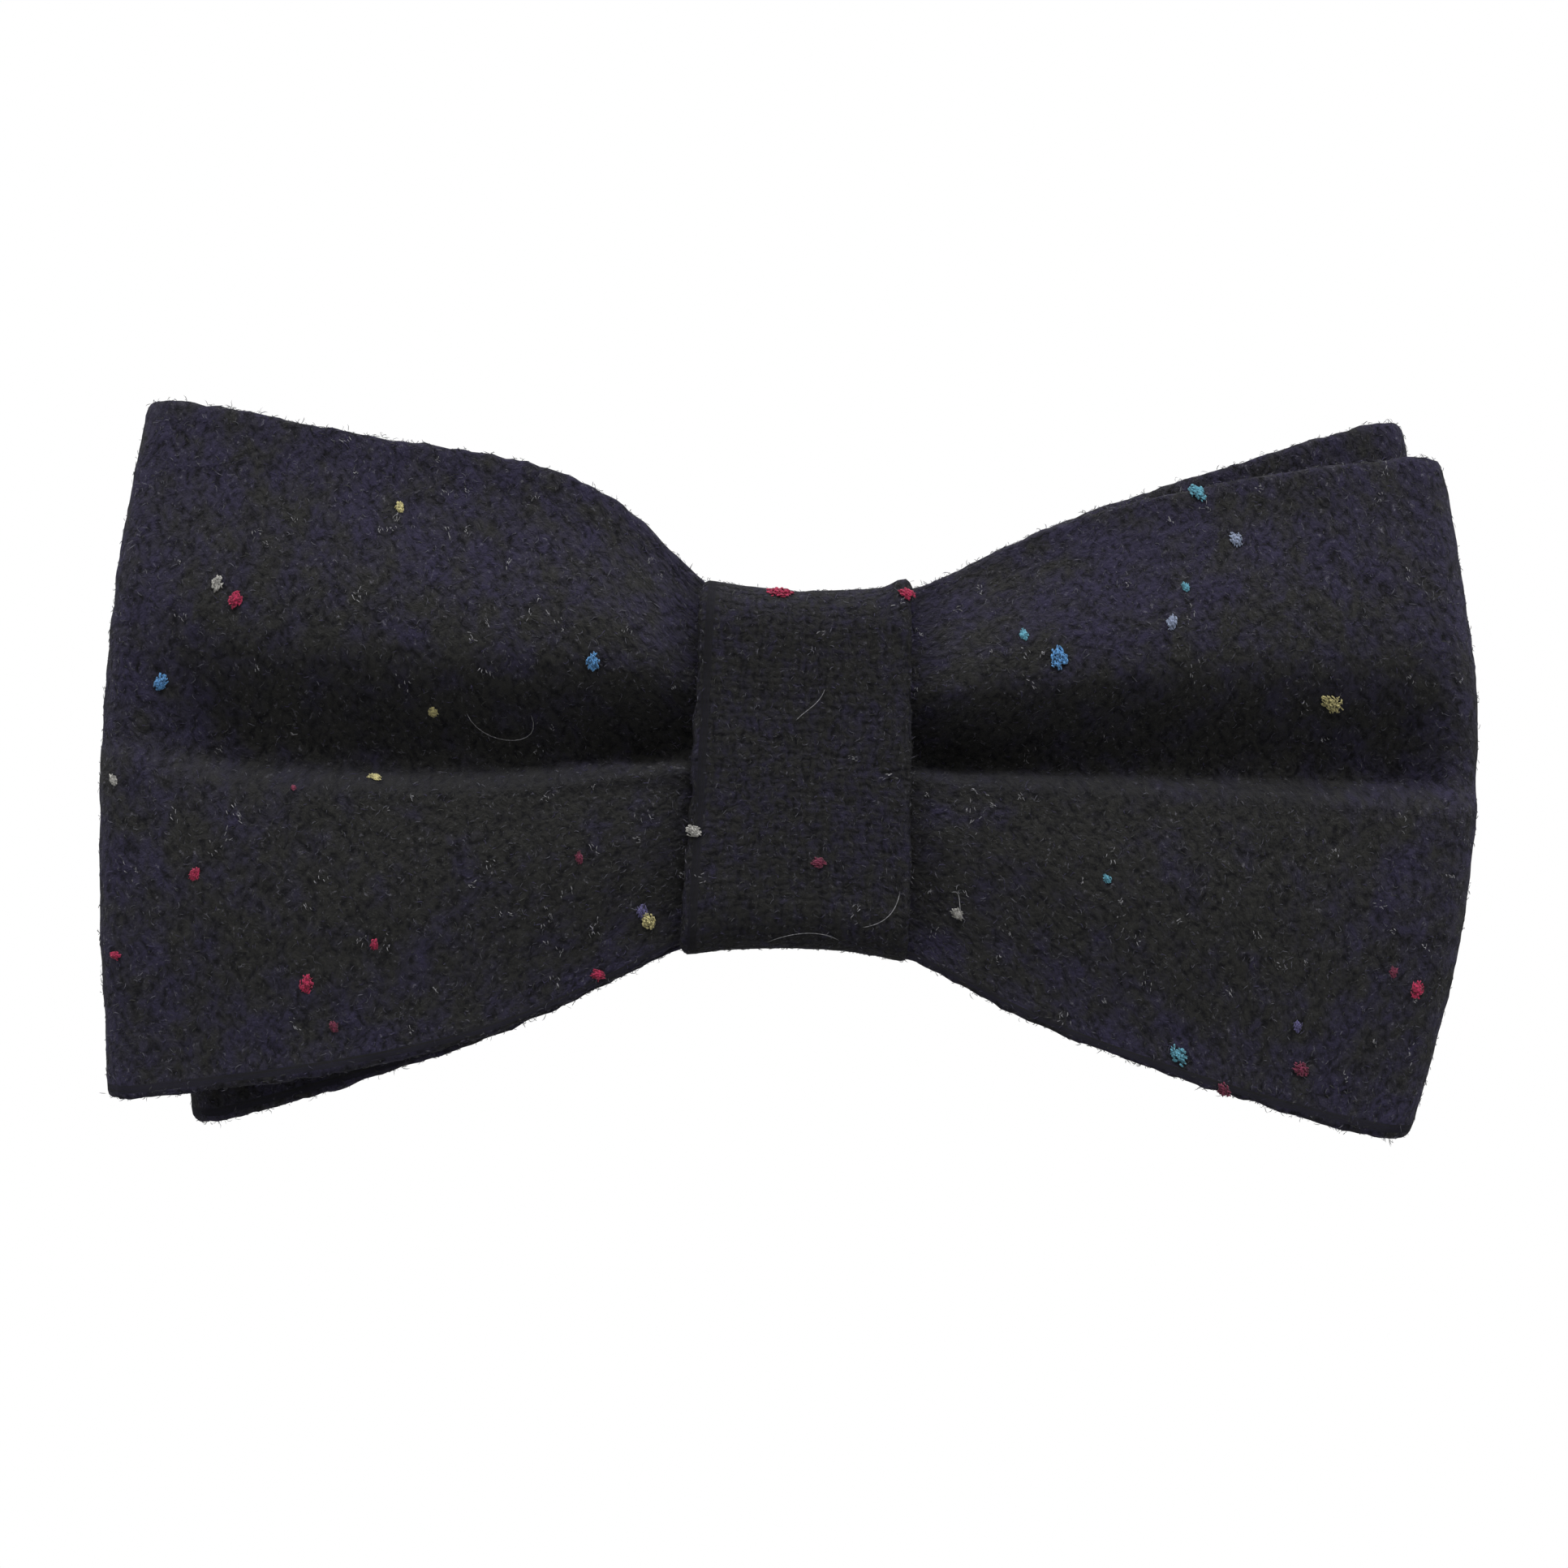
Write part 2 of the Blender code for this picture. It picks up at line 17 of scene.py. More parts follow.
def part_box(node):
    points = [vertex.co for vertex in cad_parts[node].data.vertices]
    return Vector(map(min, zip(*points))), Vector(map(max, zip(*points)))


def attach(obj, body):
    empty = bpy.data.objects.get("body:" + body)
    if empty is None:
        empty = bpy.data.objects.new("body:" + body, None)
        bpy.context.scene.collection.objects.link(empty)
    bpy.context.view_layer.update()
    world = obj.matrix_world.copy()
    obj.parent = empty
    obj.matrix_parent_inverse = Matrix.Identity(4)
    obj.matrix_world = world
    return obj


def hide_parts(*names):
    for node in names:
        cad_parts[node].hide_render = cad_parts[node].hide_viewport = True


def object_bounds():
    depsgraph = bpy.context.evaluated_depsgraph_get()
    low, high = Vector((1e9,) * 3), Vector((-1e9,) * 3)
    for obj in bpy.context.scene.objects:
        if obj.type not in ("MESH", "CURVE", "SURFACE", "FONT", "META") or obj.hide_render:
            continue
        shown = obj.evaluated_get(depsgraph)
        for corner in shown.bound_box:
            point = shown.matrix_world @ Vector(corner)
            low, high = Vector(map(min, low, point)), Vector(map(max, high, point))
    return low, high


MM = 0.001
TAU = 2 * math.pi

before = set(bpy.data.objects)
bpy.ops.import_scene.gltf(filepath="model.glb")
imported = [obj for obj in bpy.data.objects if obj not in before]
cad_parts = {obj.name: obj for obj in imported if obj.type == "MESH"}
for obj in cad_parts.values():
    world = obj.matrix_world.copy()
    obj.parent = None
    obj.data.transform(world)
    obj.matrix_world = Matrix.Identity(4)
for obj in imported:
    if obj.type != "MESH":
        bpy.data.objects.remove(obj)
CAD_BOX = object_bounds()


def box_mm(node):
    """A CAD node's lowest and highest corners in millimetres."""
    low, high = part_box(node)
    return np.array(low) / MM, np.array(high) / MM


# Sizes that come from the frame
BOW_LOW, BOW_HIGH = box_mm("front_bow_shell")
KNOT_LOW, KNOT_HIGH = box_mm("knot_wrap")
RIGHT_TIP, LEFT_TIP = BOW_HIGH[0], -BOW_LOW[0]

# The strip of a bow. These follow the frame's design, with an outline and a valley closer to the real ones.
TIP = {"front": {1: RIGHT_TIP - 0.6, -1: LEFT_TIP - 0.4}, "rear": {1: 57.4, -1: 56.5}}
KNOT_EDGE = 9.5                      # where the wings leave the knot
WAIST_HALF = 12.4                    # half height under the knot
FLARE_START, FLARE_END = 5.8, 9.6    # where the cloth swells out from under the knot
FLARE_POWER = 1.3
# A quarter's half height grows from the first number by the second within the third, and by the fourth
FLARE = {
    "front": {
        (1, 1): (15.6, 8.2, 0.28, 4.8), (1, -1): (16.4, 7.9, 0.33, 6.8),
        (-1, 1): (15.9, 8.0, 0.13, 6.0), (-1, -1): (15.9, 8.4, 0.26, 7.2),
    },
    "rear": {
        (1, 1): (15.0, 3.6, 0.26, 11.4), (1, -1): (15.5, 7.5, 0.28, 5.5),
        (-1, 1): (15.5, 7.5, 0.20, 5.0), (-1, -1): (15.5, 5.0, 0.28, 10.8),
    },
}
# How far the tip's edge lies back at each corner
CORNER_BACK = {
    "front": {(1, 1): 4.0, (1, -1): 4.9, (-1, 1): 3.0, (-1, -1): 1.5},
    "rear": {(1, 1): 2.9, (1, -1): 4.9, (-1, 1): 4.0, (-1, -1): 1.6},
}
REAR_TURN = math.radians(3.25)
PLY = 2.0                  # thickness of the flat tube
FOLD_REACH = 2.6           # how far the fold at a tip reaches past the flat part
# A pleat rises from the valley within the first share of the half height, and then falls by the second
UPPER_RISE, LOWER_RISE = 0.42, 0.08
UPPER_FALL, LOWER_FALL = 0.62, 0.45
VALLEY_END = {1: (0.86, 1.0), -1: (0.76, 0.96)}      # where the valley runs out towards each tip
VALLEY_DIP = {1: 0.0, -1: -0.065}                    # dip of its middle, as a share of the half height
PLACES = (8.5, 13.0)       # up to the first the depths are the waist's, and from the second the wing's
# Depth of each face at the waist, the wing and the tip, and how far its pleats stand out there
FACES = {
    ("front", "front"): ((-15.4, -14.1, -14.1), (3.0, 7.0, 5.6)),
    ("front", "back"): ((-11.65, -9.8, -8.6), (1.6, 0.4, 0.2)),
    ("rear", "front"): ((-10.7, -9.1, -7.8), (1.6, 0.4, 0.2)),
    ("rear", "back"): ((-5.95, -3.8, -2.2), (1.6, -1.8, -1.5)),
}
FOLD_LENGTH = 8.5          # cloth in the turn at a tip

# Detail
GRID_STEP = 0.6            # spacing of a cloth mesh's points along the strip
FACE_POINTS = 96           # points across the strip's outer face
EDGE_POINTS = 7
BACK_POINTS = 56
EDGE_SQUARENESS = 0.6      # 1 gives round edges, less gives squarer ones
EDGE_START = 0.93          # where a strip's uneven edge begins, as a share of its half width
WEAVE_PITCH = 0.65
SECTION_HALF = 24.0        # a typical half width of a bow, which spaces the points across it
CORNER_POWER, CORNER_START = 1.7, 0.4     # how the tip's edge curves back towards its corners
SHARP_PLEAT = (7.0, 9.5)   # where the pleat turns from a soft wave under the knot to a sharp valley
FLAT_TIP = 0.86            # how much of the valley is gone at the tip

# Unevenness of the cloth: size, height and seed of each layer of noise
SLOW_WAVE = (16.0, 0.40, 5.0)
BOW_WAVES = (SLOW_WAVE, (2.6, 0.13, 11.0), (1.1, 0.09, 17.0))
KNOT_WAVES = ((9.0, 0.30, 8.0), (2.4, 0.13, 13.0), (1.0, 0.07, 19.0))
# Pitch and height of the bumps along the edges
BOW_BUMPS, KNOT_BUMPS, NO_BUMPS = (1.9, 0.08), (1.3, 0.10), (2.0, 0.0)
END_GAP = 0.6              # between the ends of a bow's strip, behind the knot


def ease(low, high, value):
    """0 below low, 1 above high, and a smooth step between them."""
    t = np.clip((value - low) / (high - low), 0, 1)
    return t * t * (3 - 2 * t)


def three_places(values, reach, u):
    """A value that goes from the waist's to the wing's, and then straight to the tip's."""
    waist, wing, tip = values
    return waist + (wing - waist) * ease(*PLACES, reach) + (tip - wing) * u


def lobes(zeta, reach, u, side):
    """The front pleat's height: an upper roll that hangs over the valley, and a steep-topped lower one."""
    dip = VALLEY_DIP[side] * ease(0, 0.35, u) * (1 - ease(0.72, 0.95, u))
    zeta = zeta - dip * (1 - zeta ** 2)
    t = np.abs(zeta)
    soft = (1 - np.cos(TAU * t)) / 2
    upper = ease(0, UPPER_RISE, t) * (1 - UPPER_FALL * ease(0.45, 1, t))
    lower = np.sin(math.pi / 2 * np.minimum(t / LOWER_RISE, 1)) * (1 - LOWER_FALL * ease(0.25, 1, t))
    sharp = np.where(zeta > 0, upper, lower)
    flat = 1 - LOWER_FALL * ease(0.25, 1, t) * np.where(zeta > 0, UPPER_FALL / LOWER_FALL, 1)
    sharp = sharp + (flat - sharp) * FLAT_TIP * ease(*VALLEY_END[side], u)
    return soft + (sharp - soft) * ease(*SHARP_PLEAT, reach)


def back_lobes(zeta):
    """The height of the soft pleats on the faces that don't show."""
    return (1 - np.cos(TAU * np.abs(zeta))) / 2


def by_quadrant(table, side, upper):
    """Values of a table of quadrants, as arrays that follow upper."""
    top, bottom = table[side, 1], table[side, -1]
    if isinstance(top, tuple):
        return [np.where(upper, a, b) for a, b in zip(top, bottom)]
    return np.where(upper, top, bottom)


def bow_half(bow, side, along, zeta, inset):
    """Points of the right (side 1) or left half of a strip.

    along runs from 0 at the front's middle, over the wing's tip and back to the middle behind it.
    zeta runs from -1 at the lower edge to 1 at the upper edge, and inset goes into the cloth.
    """
    tip = TIP[bow][side]
    flat_end = tip - FOLD_REACH
    angle = np.clip((along - flat_end) / FOLD_LENGTH, 0, 1) * math.pi
    reach = np.minimum(along, flat_end) - np.maximum(along - flat_end - FOLD_LENGTH, 0)
    u = np.maximum(reach - KNOT_EDGE, 0) / (tip - KNOT_EDGE)
    upper = zeta > 0
    root, swell, span, slope = by_quadrant(FLARE[bow], side, upper)
    full = root + swell * (1 - np.exp(-((u / span) ** FLARE_POWER))) + slope * u
    half = WAIST_HALF + (full - WAIST_HALF) * ease(FLARE_START, FLARE_END, reach)
    corner = by_quadrant(CORNER_BACK[bow], side, upper) * np.abs(zeta) ** CORNER_POWER
    corner = corner * ease(CORNER_START, 1, u)
    depths = {}
    for face in ("front", "back"):
        base, height = FACES[bow, face]
        shape = lobes(zeta, reach, u, side) if (bow, face) == ("front", "front") else back_lobes(zeta)
        depths[face] = three_places(base, reach, u) - three_places(height, reach, u) * shape
    middle = (depths["front"] + depths["back"]) / 2
    radius = (depths["back"] - depths["front"]) / 2
    x = reach - corner + (FOLD_REACH - inset) * np.sin(angle)
    y = middle - (radius - inset) * np.cos(angle)
    z = zeta * half
    x = x * side
    if bow == "rear":
        cos, sin = math.cos(REAR_TURN), math.sin(REAR_TURN)
        x, z = x * cos - z * sin, x * sin + z * cos
    return np.stack(np.broadcast_arrays(x, y, z), axis=-1)


def bow_surface(bow):
    """A function of (along, zeta, inset) for a whole strip, whose left half has along below 0."""
    def surface(along, zeta, inset):
        right = bow_half(bow, 1, np.abs(along), zeta, inset)
        left = bow_half(bow, -1, np.abs(along), zeta, inset)
        return np.where((along >= 0)[..., None], right, left)
    return surface


def ring(half_width, thickness, face_points, back_points):
    """(zeta, inset, cloth distance) round a strip's section: outer face, edge, inner face, edge."""
    radius = thickness / 2
    edge = radius / half_width
    flat = 1 - edge
    turn = np.linspace(0, math.pi, EDGE_POINTS + 2)[1:-1]
    out = np.linspace(-flat, flat, face_points)
    back = np.linspace(flat, -flat, back_points)
    wide = np.sin(turn) ** EDGE_SQUARENESS
    deep = np.sign(np.cos(turn)) * np.abs(np.cos(turn)) ** EDGE_SQUARENESS
    zeta = [out, flat + edge * wide, back, -flat - edge * wide]
    inset = [0 * out, radius * (1 - deep), 0 * back + thickness, radius * (1 + deep)]
    zeta, inset = np.concatenate(zeta), np.concatenate(inset)
    step = np.hypot(np.diff(zeta, append=zeta[0]) * half_width, np.diff(inset, append=inset[0]))
    return zeta, inset, np.cumsum(step) - step


def normals_of(points):
    """Unit normals of a grid of points whose second direction is closed."""
    along = np.gradient(points, axis=0)
    around = np.roll(points, -1, axis=1) - np.roll(points, 1, axis=1)
    cross = np.cross(around, along)
    length = np.linalg.norm(cross, axis=-1, keepdims=True)
    return cross / np.maximum(length, 1e-9)


def noise_field(points, size, seed):
    """Smooth noise from -1 to 1 with features of about size, for an array of points."""
    flat = points.reshape(-1, 3) / size + seed
    values = np.fromiter((noise.noise(Vector(p)) for p in flat), float, len(flat))
    return values.reshape(points.shape[:-1])


def mesh_object(name, points, faces, uv=None):
    """An object from points in millimetres, turned so that its faces look out."""
    mesh = bpy.data.meshes.new(name)
    mesh.from_pydata((np.asarray(points) * MM).tolist(), [], faces)
    mesh.shade_smooth()
    if uv is not None:
        layer = mesh.uv_layers.new(name="cloth")
        loops = np.zeros(len(mesh.loops), dtype=np.int32)
        mesh.loops.foreach_get("vertex_index", loops)
        layer.data.foreach_set("uv", np.asarray(uv, dtype=np.float32)[loops].ravel())
    made = bpy.data.objects.new(name, mesh)
    bpy.context.collection.objects.link(made)
    return made


def tube_faces(rows, cols):
    """Quads of a closed tube of rows by cols points, and its two flat ends."""
    faces = []
    for i in range(rows - 1):
        start = i * cols
        for j in range(cols):
            k = (j + 1) % cols
            faces.append((start + j, start + k, start + cols + k, start + cols + j))
    faces.append(tuple(range(cols - 1, -1, -1)))
    faces.append(tuple(range((rows - 1) * cols, rows * cols)))
    return faces


def cloth_band(name, surface, along, section, waves, edge_bumps):
    """A folded strip of cloth as one closed mesh, with its felted unevenness.

    Returns the object, its grid of points and its grid of normals.
    """
    zeta, inset, across = section
    along_grid, zeta_grid = np.meshgrid(along, zeta, indexing="ij")
    points = surface(along_grid, zeta_grid, inset[None, :])
    normals = normals_of(points)
    centre = points.mean(axis=1, keepdims=True)
    if ((points - centre) * normals).sum() < 0:
        normals = -normals
    lift = np.zeros(points.shape[:2])
    for size, height, seed in waves:
        lift += height * noise_field(points, size, seed)
    edge = np.clip((np.abs(zeta) - EDGE_START) / (1 - EDGE_START), 0, 1)[None, :]
    pitch, height = edge_bumps
    regular = np.sin(TAU * along[:, None] / pitch + 3 * noise_field(points, 6.0, 31.0))
    small, large = noise_field(points, 1.1, 47.0), noise_field(points, 2.7, 53.0)
    lift += edge * height * (0.2 * regular + 2.0 * small + 1.6 * large)
    points = points + normals * lift[..., None]
    uv = np.stack(np.broadcast_arrays(along[:, None], across[None, :]), axis=-1).reshape(-1, 2)
    rows, cols = points.shape[:2]
    made = mesh_object(name, points.reshape(-1, 3), tube_faces(rows, cols), uv)
    turn_out(made)
    return made, points, normals


def turn_out(obj):
    """Make a closed mesh's faces look out."""
    shape = bmesh.new()
    shape.from_mesh(obj.data)
    if shape.calc_volume(signed=True) < 0:
        bmesh.ops.reverse_faces(shape, faces=shape.faces)
    shape.to_mesh(obj.data)
    shape.free()


# Materials

class Nodes:
    """Short ways to add nodes to a material's tree."""

    def __init__(self, name):
        self.material = bpy.data.materials.new(name)
        self.material.use_nodes = True
        self.tree = self.material.node_tree
        self.shader = self.tree.nodes["Principled BSDF"]

    def add(self, kind, inputs=(), output=0, **settings):
        made = self.tree.nodes.new("ShaderNode" + kind)
        for key, value in settings.items():
            setattr(made, key, value)
        for key, value in dict(inputs).items():
            socket = made.inputs[key]
            if isinstance(value, bpy.types.NodeSocket):
                self.tree.links.new(value, socket)
            else:
                socket.default_value = value
        return made.outputs[output]

    def math(self, operation, *values):
        return self.add("Math", enumerate(values), operation=operation)

    def noise(self, vector, scale, detail=2.0, roughness=0.5):
        inputs = {"Vector": vector, "Scale": scale, "Detail": detail, "Roughness": roughness}
        return self.add("TexNoise", inputs)

    def ramp(self, value, low, high):
        """0 where value is below low and 1 above high."""
        inputs = {"Value": value, "From Min": low, "From Max": high}
        return self.add("MapRange", inputs, interpolation_type="SMOOTHSTEP")

    def mix(self, factor, a, b):
        made = self.tree.nodes.new("ShaderNodeMix")
        made.data_type = "RGBA"
        for socket, value in ((made.inputs[0], factor), (made.inputs[6], a), (made.inputs[7], b)):
            if isinstance(value, bpy.types.NodeSocket):
                self.tree.links.new(value, socket)
            else:
                socket.default_value = value
        return made.outputs[2]

    def link(self, output, name):
        self.tree.links.new(output, self.shader.inputs[name])

    def set(self, **values):
        for name, value in values.items():
            self.shader.inputs[name.replace("_", " ")].default_value = value


def rgb(red, green, blue):
    """A linear colour from 8-bit sRGB values."""
    parts = [c / 255 for c in (red, green, blue)]
    return (*[p / 12.92 if p <= 0.04045 else ((p + 0.055) / 1.055) ** 2.4 for p in parts], 1)


NAVY = rgb(48, 45, 64)
CHARCOAL = rgb(45, 45, 42)
HEATHER = rgb(108, 107, 114)
# The colour of painted shade, in the felt's hollows and along the lower pleat's lip
PAINTED_SHADE_COLOUR = rgb(15, 15, 17)
BLACK = (0, 0, 0, 1)
# Where the painted shade along the lower pleat's lip lies: how far the lip lies from the strip's lower
# edge, and how much less on the left wing
LIP_ACROSS, LIP_DIP = 22.0, 1.3


# The tweed's noises, in features per millimetre, and its bump's depth
WANDER_SCALE, FELT_SCALE, CURL_SCALE, PALE_SCALE, BROAD_SCALE = 0.55, 1.7, 1.45, 2.6, 0.09
WANDER = 1.2
TWEED_BUMP = 0.5
# Between which distances a bow turns charcoal: across it from below and from above, and from its tip
LOW_EDGE, HIGH_EDGE, NEAR_TIP = (-2.0, 12.0), (42.0, 25.0), (60.0, 42.0)
# Painted shade along the lower pleat's lip: full within the second distance of the lip, gone beyond the
# first
PAINTED_LIP_SHADE_EDGE = (1.9, 0.5)
PALE_SHARE = 0.65


def wandering(n, cloth, grain_turn):
    """Places on the cloth, turned, and shifted a little by noise so that no thread runs straight."""
    turned = n.add("VectorRotate", {"Vector": cloth, "Angle": grain_turn}, rotation_type="Z_AXIS")
    wander = n.add("TexNoise", {"Vector": turned, "Scale": WANDER_SCALE, "Detail": 3.0}, output=1)
    offset = n.add("VectorMath", {0: wander, 1: (0.5, 0.5, 0.5)}, operation="SUBTRACT")
    jitter = n.add("VectorMath", {0: offset, "Scale": WANDER}, operation="SCALE")
    return n.add("VectorMath", {0: turned, 1: jitter}, operation="ADD")


def plain_weave(n, place):
    """The height of a plain weave, whose threads go over and under each other in turn."""
    split = n.add("SeparateXYZ", {0: place})
    u = n.math("SINE", n.math("MULTIPLY", split, math.pi / WEAVE_PITCH))
    v = n.math("SINE", n.math("MULTIPLY", split.node.outputs[1], math.pi / WEAVE_PITCH))
    over = n.math("MULTIPLY", n.math("MULTIPLY", u, v), 0.6)
    warp = n.math("ADD", n.math("ABSOLUTE", u), over)
    weft = n.math("SUBTRACT", n.math("ABSOLUTE", v), over)
    return n.math("MAXIMUM", warp, weft)


def tweed(name, grain_turn, weave_share, charcoal_share, clump_scale, low_share, painted_lip_shade_share, tone):
    """Felted wool tweed: mottled navy and charcoal, a soft weave under the nap, pale heather specks,
    painted shade in its hollows.

    low_share turns the cloth more charcoal round the valley, the share after it is painted shade along the
    lower pleat's lip that tones down the highlight there, and a tone below 1 darkens all of it.
    """
    n = Nodes(name)
    cloth = n.add("UVMap", uv_map="cloth")
    place = wandering(n, cloth, grain_turn)
    along = n.add("SeparateXYZ", {0: cloth})
    across = along.node.outputs[1]

    # Height: the weave, the felt over it and its curls
    felt = n.noise(place, FELT_SCALE, 5.0, 0.7)
    curl_inputs = {"Vector": place, "Scale": CURL_SCALE, "Smoothness": 0.35}
    curl = n.add("TexVoronoi", curl_inputs, feature="SMOOTH_F1")
    height = n.math("MULTIPLY_ADD", plain_weave(n, place), weave_share, n.math("MULTIPLY", felt, 2.2))
    height = n.math("SUBTRACT", height, n.math("MULTIPLY", curl, 0.6))
    n.link(n.add("Bump", {"Strength": 1.0, "Distance": TWEED_BUMP * MM, "Height": height}), "Normal")

    # Patches of navy and charcoal
    inner = n.ramp(n.math("ABSOLUTE", along), *NEAR_TIP)
    low = n.math("MULTIPLY", n.ramp(across, *LOW_EDGE), n.ramp(across, *HIGH_EDGE))
    low = n.math("MULTIPLY", low, inner)
    broad = n.noise(cloth, BROAD_SCALE, 2.0, 0.5)
    clumps = n.noise(place, clump_scale, 4.0, 0.62)
    mixture = n.math("MULTIPLY_ADD", low, low_share, n.math("MULTIPLY_ADD", broad, 0.5, clumps))
    patch = n.ramp(mixture, 0.62 - charcoal_share, 0.96 - charcoal_share)
    colour = n.mix(patch, NAVY, CHARCOAL)

    # Pale specks, painted shade in the felt's hollows, and painted shade along the lower pleat's lip
    pale = n.ramp(n.noise(place, PALE_SCALE, 4.0, 0.7), 0.58, 0.72)
    colour = n.mix(n.math("MULTIPLY", pale, PALE_SHARE), colour, HEATHER)
    # Painted shade: the felt turns darker where its height lies low
    painted_hollow_shade = n.ramp(n.math("SUBTRACT", height, 0.8 * weave_share), 0.25, 1.05)
    colour = n.mix(painted_hollow_shade, PAINTED_SHADE_COLOUR, colour)
    # Painted shade along the lower pleat's lip, away from the tips, which tones down the highlight its fold
    # catches
    lip = n.math("MULTIPLY_ADD", n.math("LESS_THAN", along, 0.0), -LIP_DIP, LIP_ACROSS)
    painted_lip_shade = n.ramp(n.math("ABSOLUTE", n.math("SUBTRACT", across, lip)), *PAINTED_LIP_SHADE_EDGE)
    painted_lip_shade = n.math("MULTIPLY", n.math("MULTIPLY", painted_lip_shade, inner), painted_lip_shade_share)
    n.link(n.mix(painted_lip_shade, n.mix(tone, BLACK, colour), PAINTED_SHADE_COLOUR), "Base Color")

    n.set(Roughness=0.95, Sheen_Weight=0.06, Sheen_Roughness=0.5, Sheen_Tint=rgb(150, 150, 165))
    n.set(Specular_IOR_Level=0.10)
    return n.material


def woven(name, colour, pitch, twist):
    """Canvas (twist 0) or twisted thread, for a piece that keeps its shape from the frame, with painted
    shade where the weave lies low.
    """
    n = Nodes(name)
    place = n.add("TexCoord", output=3)
    split = n.add("SeparateXYZ", {0: place})
    x, y, z = split, split.node.outputs[1], split.node.outputs[2]
    first = n.math("SINE", n.math("MULTIPLY", n.math("MULTIPLY_ADD", z, twist, x), TAU / (pitch * MM)))
    second = n.math("SINE", n.math("MULTIPLY", n.math("MULTIPLY_ADD", y, twist, z), TAU / (pitch * MM)))
    weave = n.math("MULTIPLY", first, second)
    fuzz = n.noise(place, 2400.0, 3.0, 0.6)
    height = n.math("MULTIPLY_ADD", fuzz, 0.8, weave)
    n.link(n.add("Bump", {"Strength": 0.7, "Distance": 0.06 * MM, "Height": height}), "Normal")
    # Painted shade: darker where the weave and its fuzz lie low
    darker = tuple(c * 0.45 for c in colour[:3]) + (1,)
    n.link(n.mix(n.ramp(height, -0.4, 1.0), darker, colour), "Base Color")
    n.set(Roughness=0.85, Sheen_Weight=0.1)
    return n.material


def fibre_material(name, colour):
    """Wool fibre, a little uneven in colour along its length."""
    n = Nodes(name)
    place = n.add("TexCoord", output=3)
    patch = n.noise(place, 3600.0, 2.0, 0.6)
    darker = tuple(c * 0.4 for c in colour[:3]) + (1,)
    n.link(n.mix(n.ramp(patch, 0.35, 0.65), darker, colour), "Base Color")
    n.set(Roughness=0.8, Sheen_Weight=0.1, Specular_IOR_Level=0.2)
    return n.material


def steel(name):
    """Nickel-plated steel with fine brushing and faint smudges."""
    n = Nodes(name)
    place = n.add("TexCoord", output=3)
    stretched = n.add("Mapping", {"Vector": place, "Scale": (60.0, 2600.0, 2600.0)})
    brush = n.noise(stretched, 1.0, 3.0, 0.6)
    smudge = n.noise(place, 260.0, 3.0, 0.6)
    rough = n.math("MULTIPLY_ADD", brush, 0.16, n.math("MULTIPLY_ADD", smudge, 0.10, 0.12))
    n.link(rough, "Roughness")
    n.link(n.mix(n.ramp(smudge, 0.35, 0.7), rgb(200, 198, 193), rgb(212, 211, 208)), "Base Color")
    n.link(n.add("Bump", {"Strength": 0.25, "Distance": 0.02 * MM, "Height": brush}), "Normal")
    n.set(Metallic=1.0)
    return n.material


# The bows

def give(obj, finish, body="bow"):
    """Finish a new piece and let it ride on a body."""
    obj.data.materials.clear()
    obj.data.materials.append(finish)
    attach(obj, body)


def make_bow(bow, finish):
    """A bow's folded strip of tweed. Returns its grids of points and normals."""
    reach_right = 2 * (TIP[bow][1] - FOLD_REACH) + FOLD_LENGTH - END_GAP
    reach_left = 2 * (TIP[bow][-1] - FOLD_REACH) + FOLD_LENGTH - END_GAP
    count = round((reach_left + reach_right) / GRID_STEP)
    along = np.linspace(-reach_left, reach_right, count)
    section = ring(SECTION_HALF, PLY, FACE_POINTS, BACK_POINTS)
    obj, points, normals = cloth_band(
        f"{bow}_bow_cloth", bow_surface(bow), along, section, BOW_WAVES, BOW_BUMPS)
    give(obj, finish)
    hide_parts(f"{bow}_bow_shell")
    return points, normals


INTERLINING = 0.4
INTERLINING_DEPTH = 0.95   # how far it lies under the cloth's face
INTERLINING_SHARE = 0.92   # of the cloth's width
INTERLINING_SHORT = 2.0    # how much each half is shorter than the cloth
INTERLINING_HALF = 22.0    # a typical half width, which spaces the points across it


def make_interlining(bow, finish):
    """The stiffening canvas inside a bow's folded cloth."""
    outer = bow_surface(bow)

    def surface(along, zeta, inset):
        return outer(along, INTERLINING_SHARE * zeta, inset + INTERLINING_DEPTH)

    half = TIP[bow][1] + TIP[bow][-1] - 2 * FOLD_REACH + FOLD_LENGTH - INTERLINING_SHORT
    shift = TIP[bow][1] - TIP[bow][-1]
    along = np.linspace(shift - half, shift + half, round(2 * half / (1.5 * GRID_STEP)))
    section = ring(INTERLINING_HALF, INTERLINING, FACE_POINTS // 2, FACE_POINTS // 2)
    obj, _, _ = cloth_band(f"{bow}_bow_canvas", surface, along, section, (SLOW_WAVE,), NO_BUMPS)
    give(obj, finish)
    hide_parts(f"{bow}_bow_interlining")


CANVAS_PITCH = 0.5


def canvas(name):
    """Plain-woven charcoal canvas, with painted shade in the weave's hollows."""
    n = Nodes(name)
    cloth = n.add("SeparateXYZ", {0: n.add("UVMap", uv_map="cloth")})
    u = n.math("SINE", n.math("MULTIPLY", cloth, TAU / CANVAS_PITCH))
    v = n.math("SINE", n.math("MULTIPLY", cloth.node.outputs[1], TAU / CANVAS_PITCH))
    weave = n.math("MULTIPLY", u, v)
    n.link(n.add("Bump", {"Strength": 0.8, "Distance": 0.08 * MM, "Height": weave}), "Normal")
    # Painted shade: darker where the weave lies low
    n.link(n.mix(n.ramp(weave, -0.6, 0.6), rgb(34, 34, 36), rgb(52, 52, 54)), "Base Color")
    n.set(Roughness=0.9)
    return n.material


# The knot

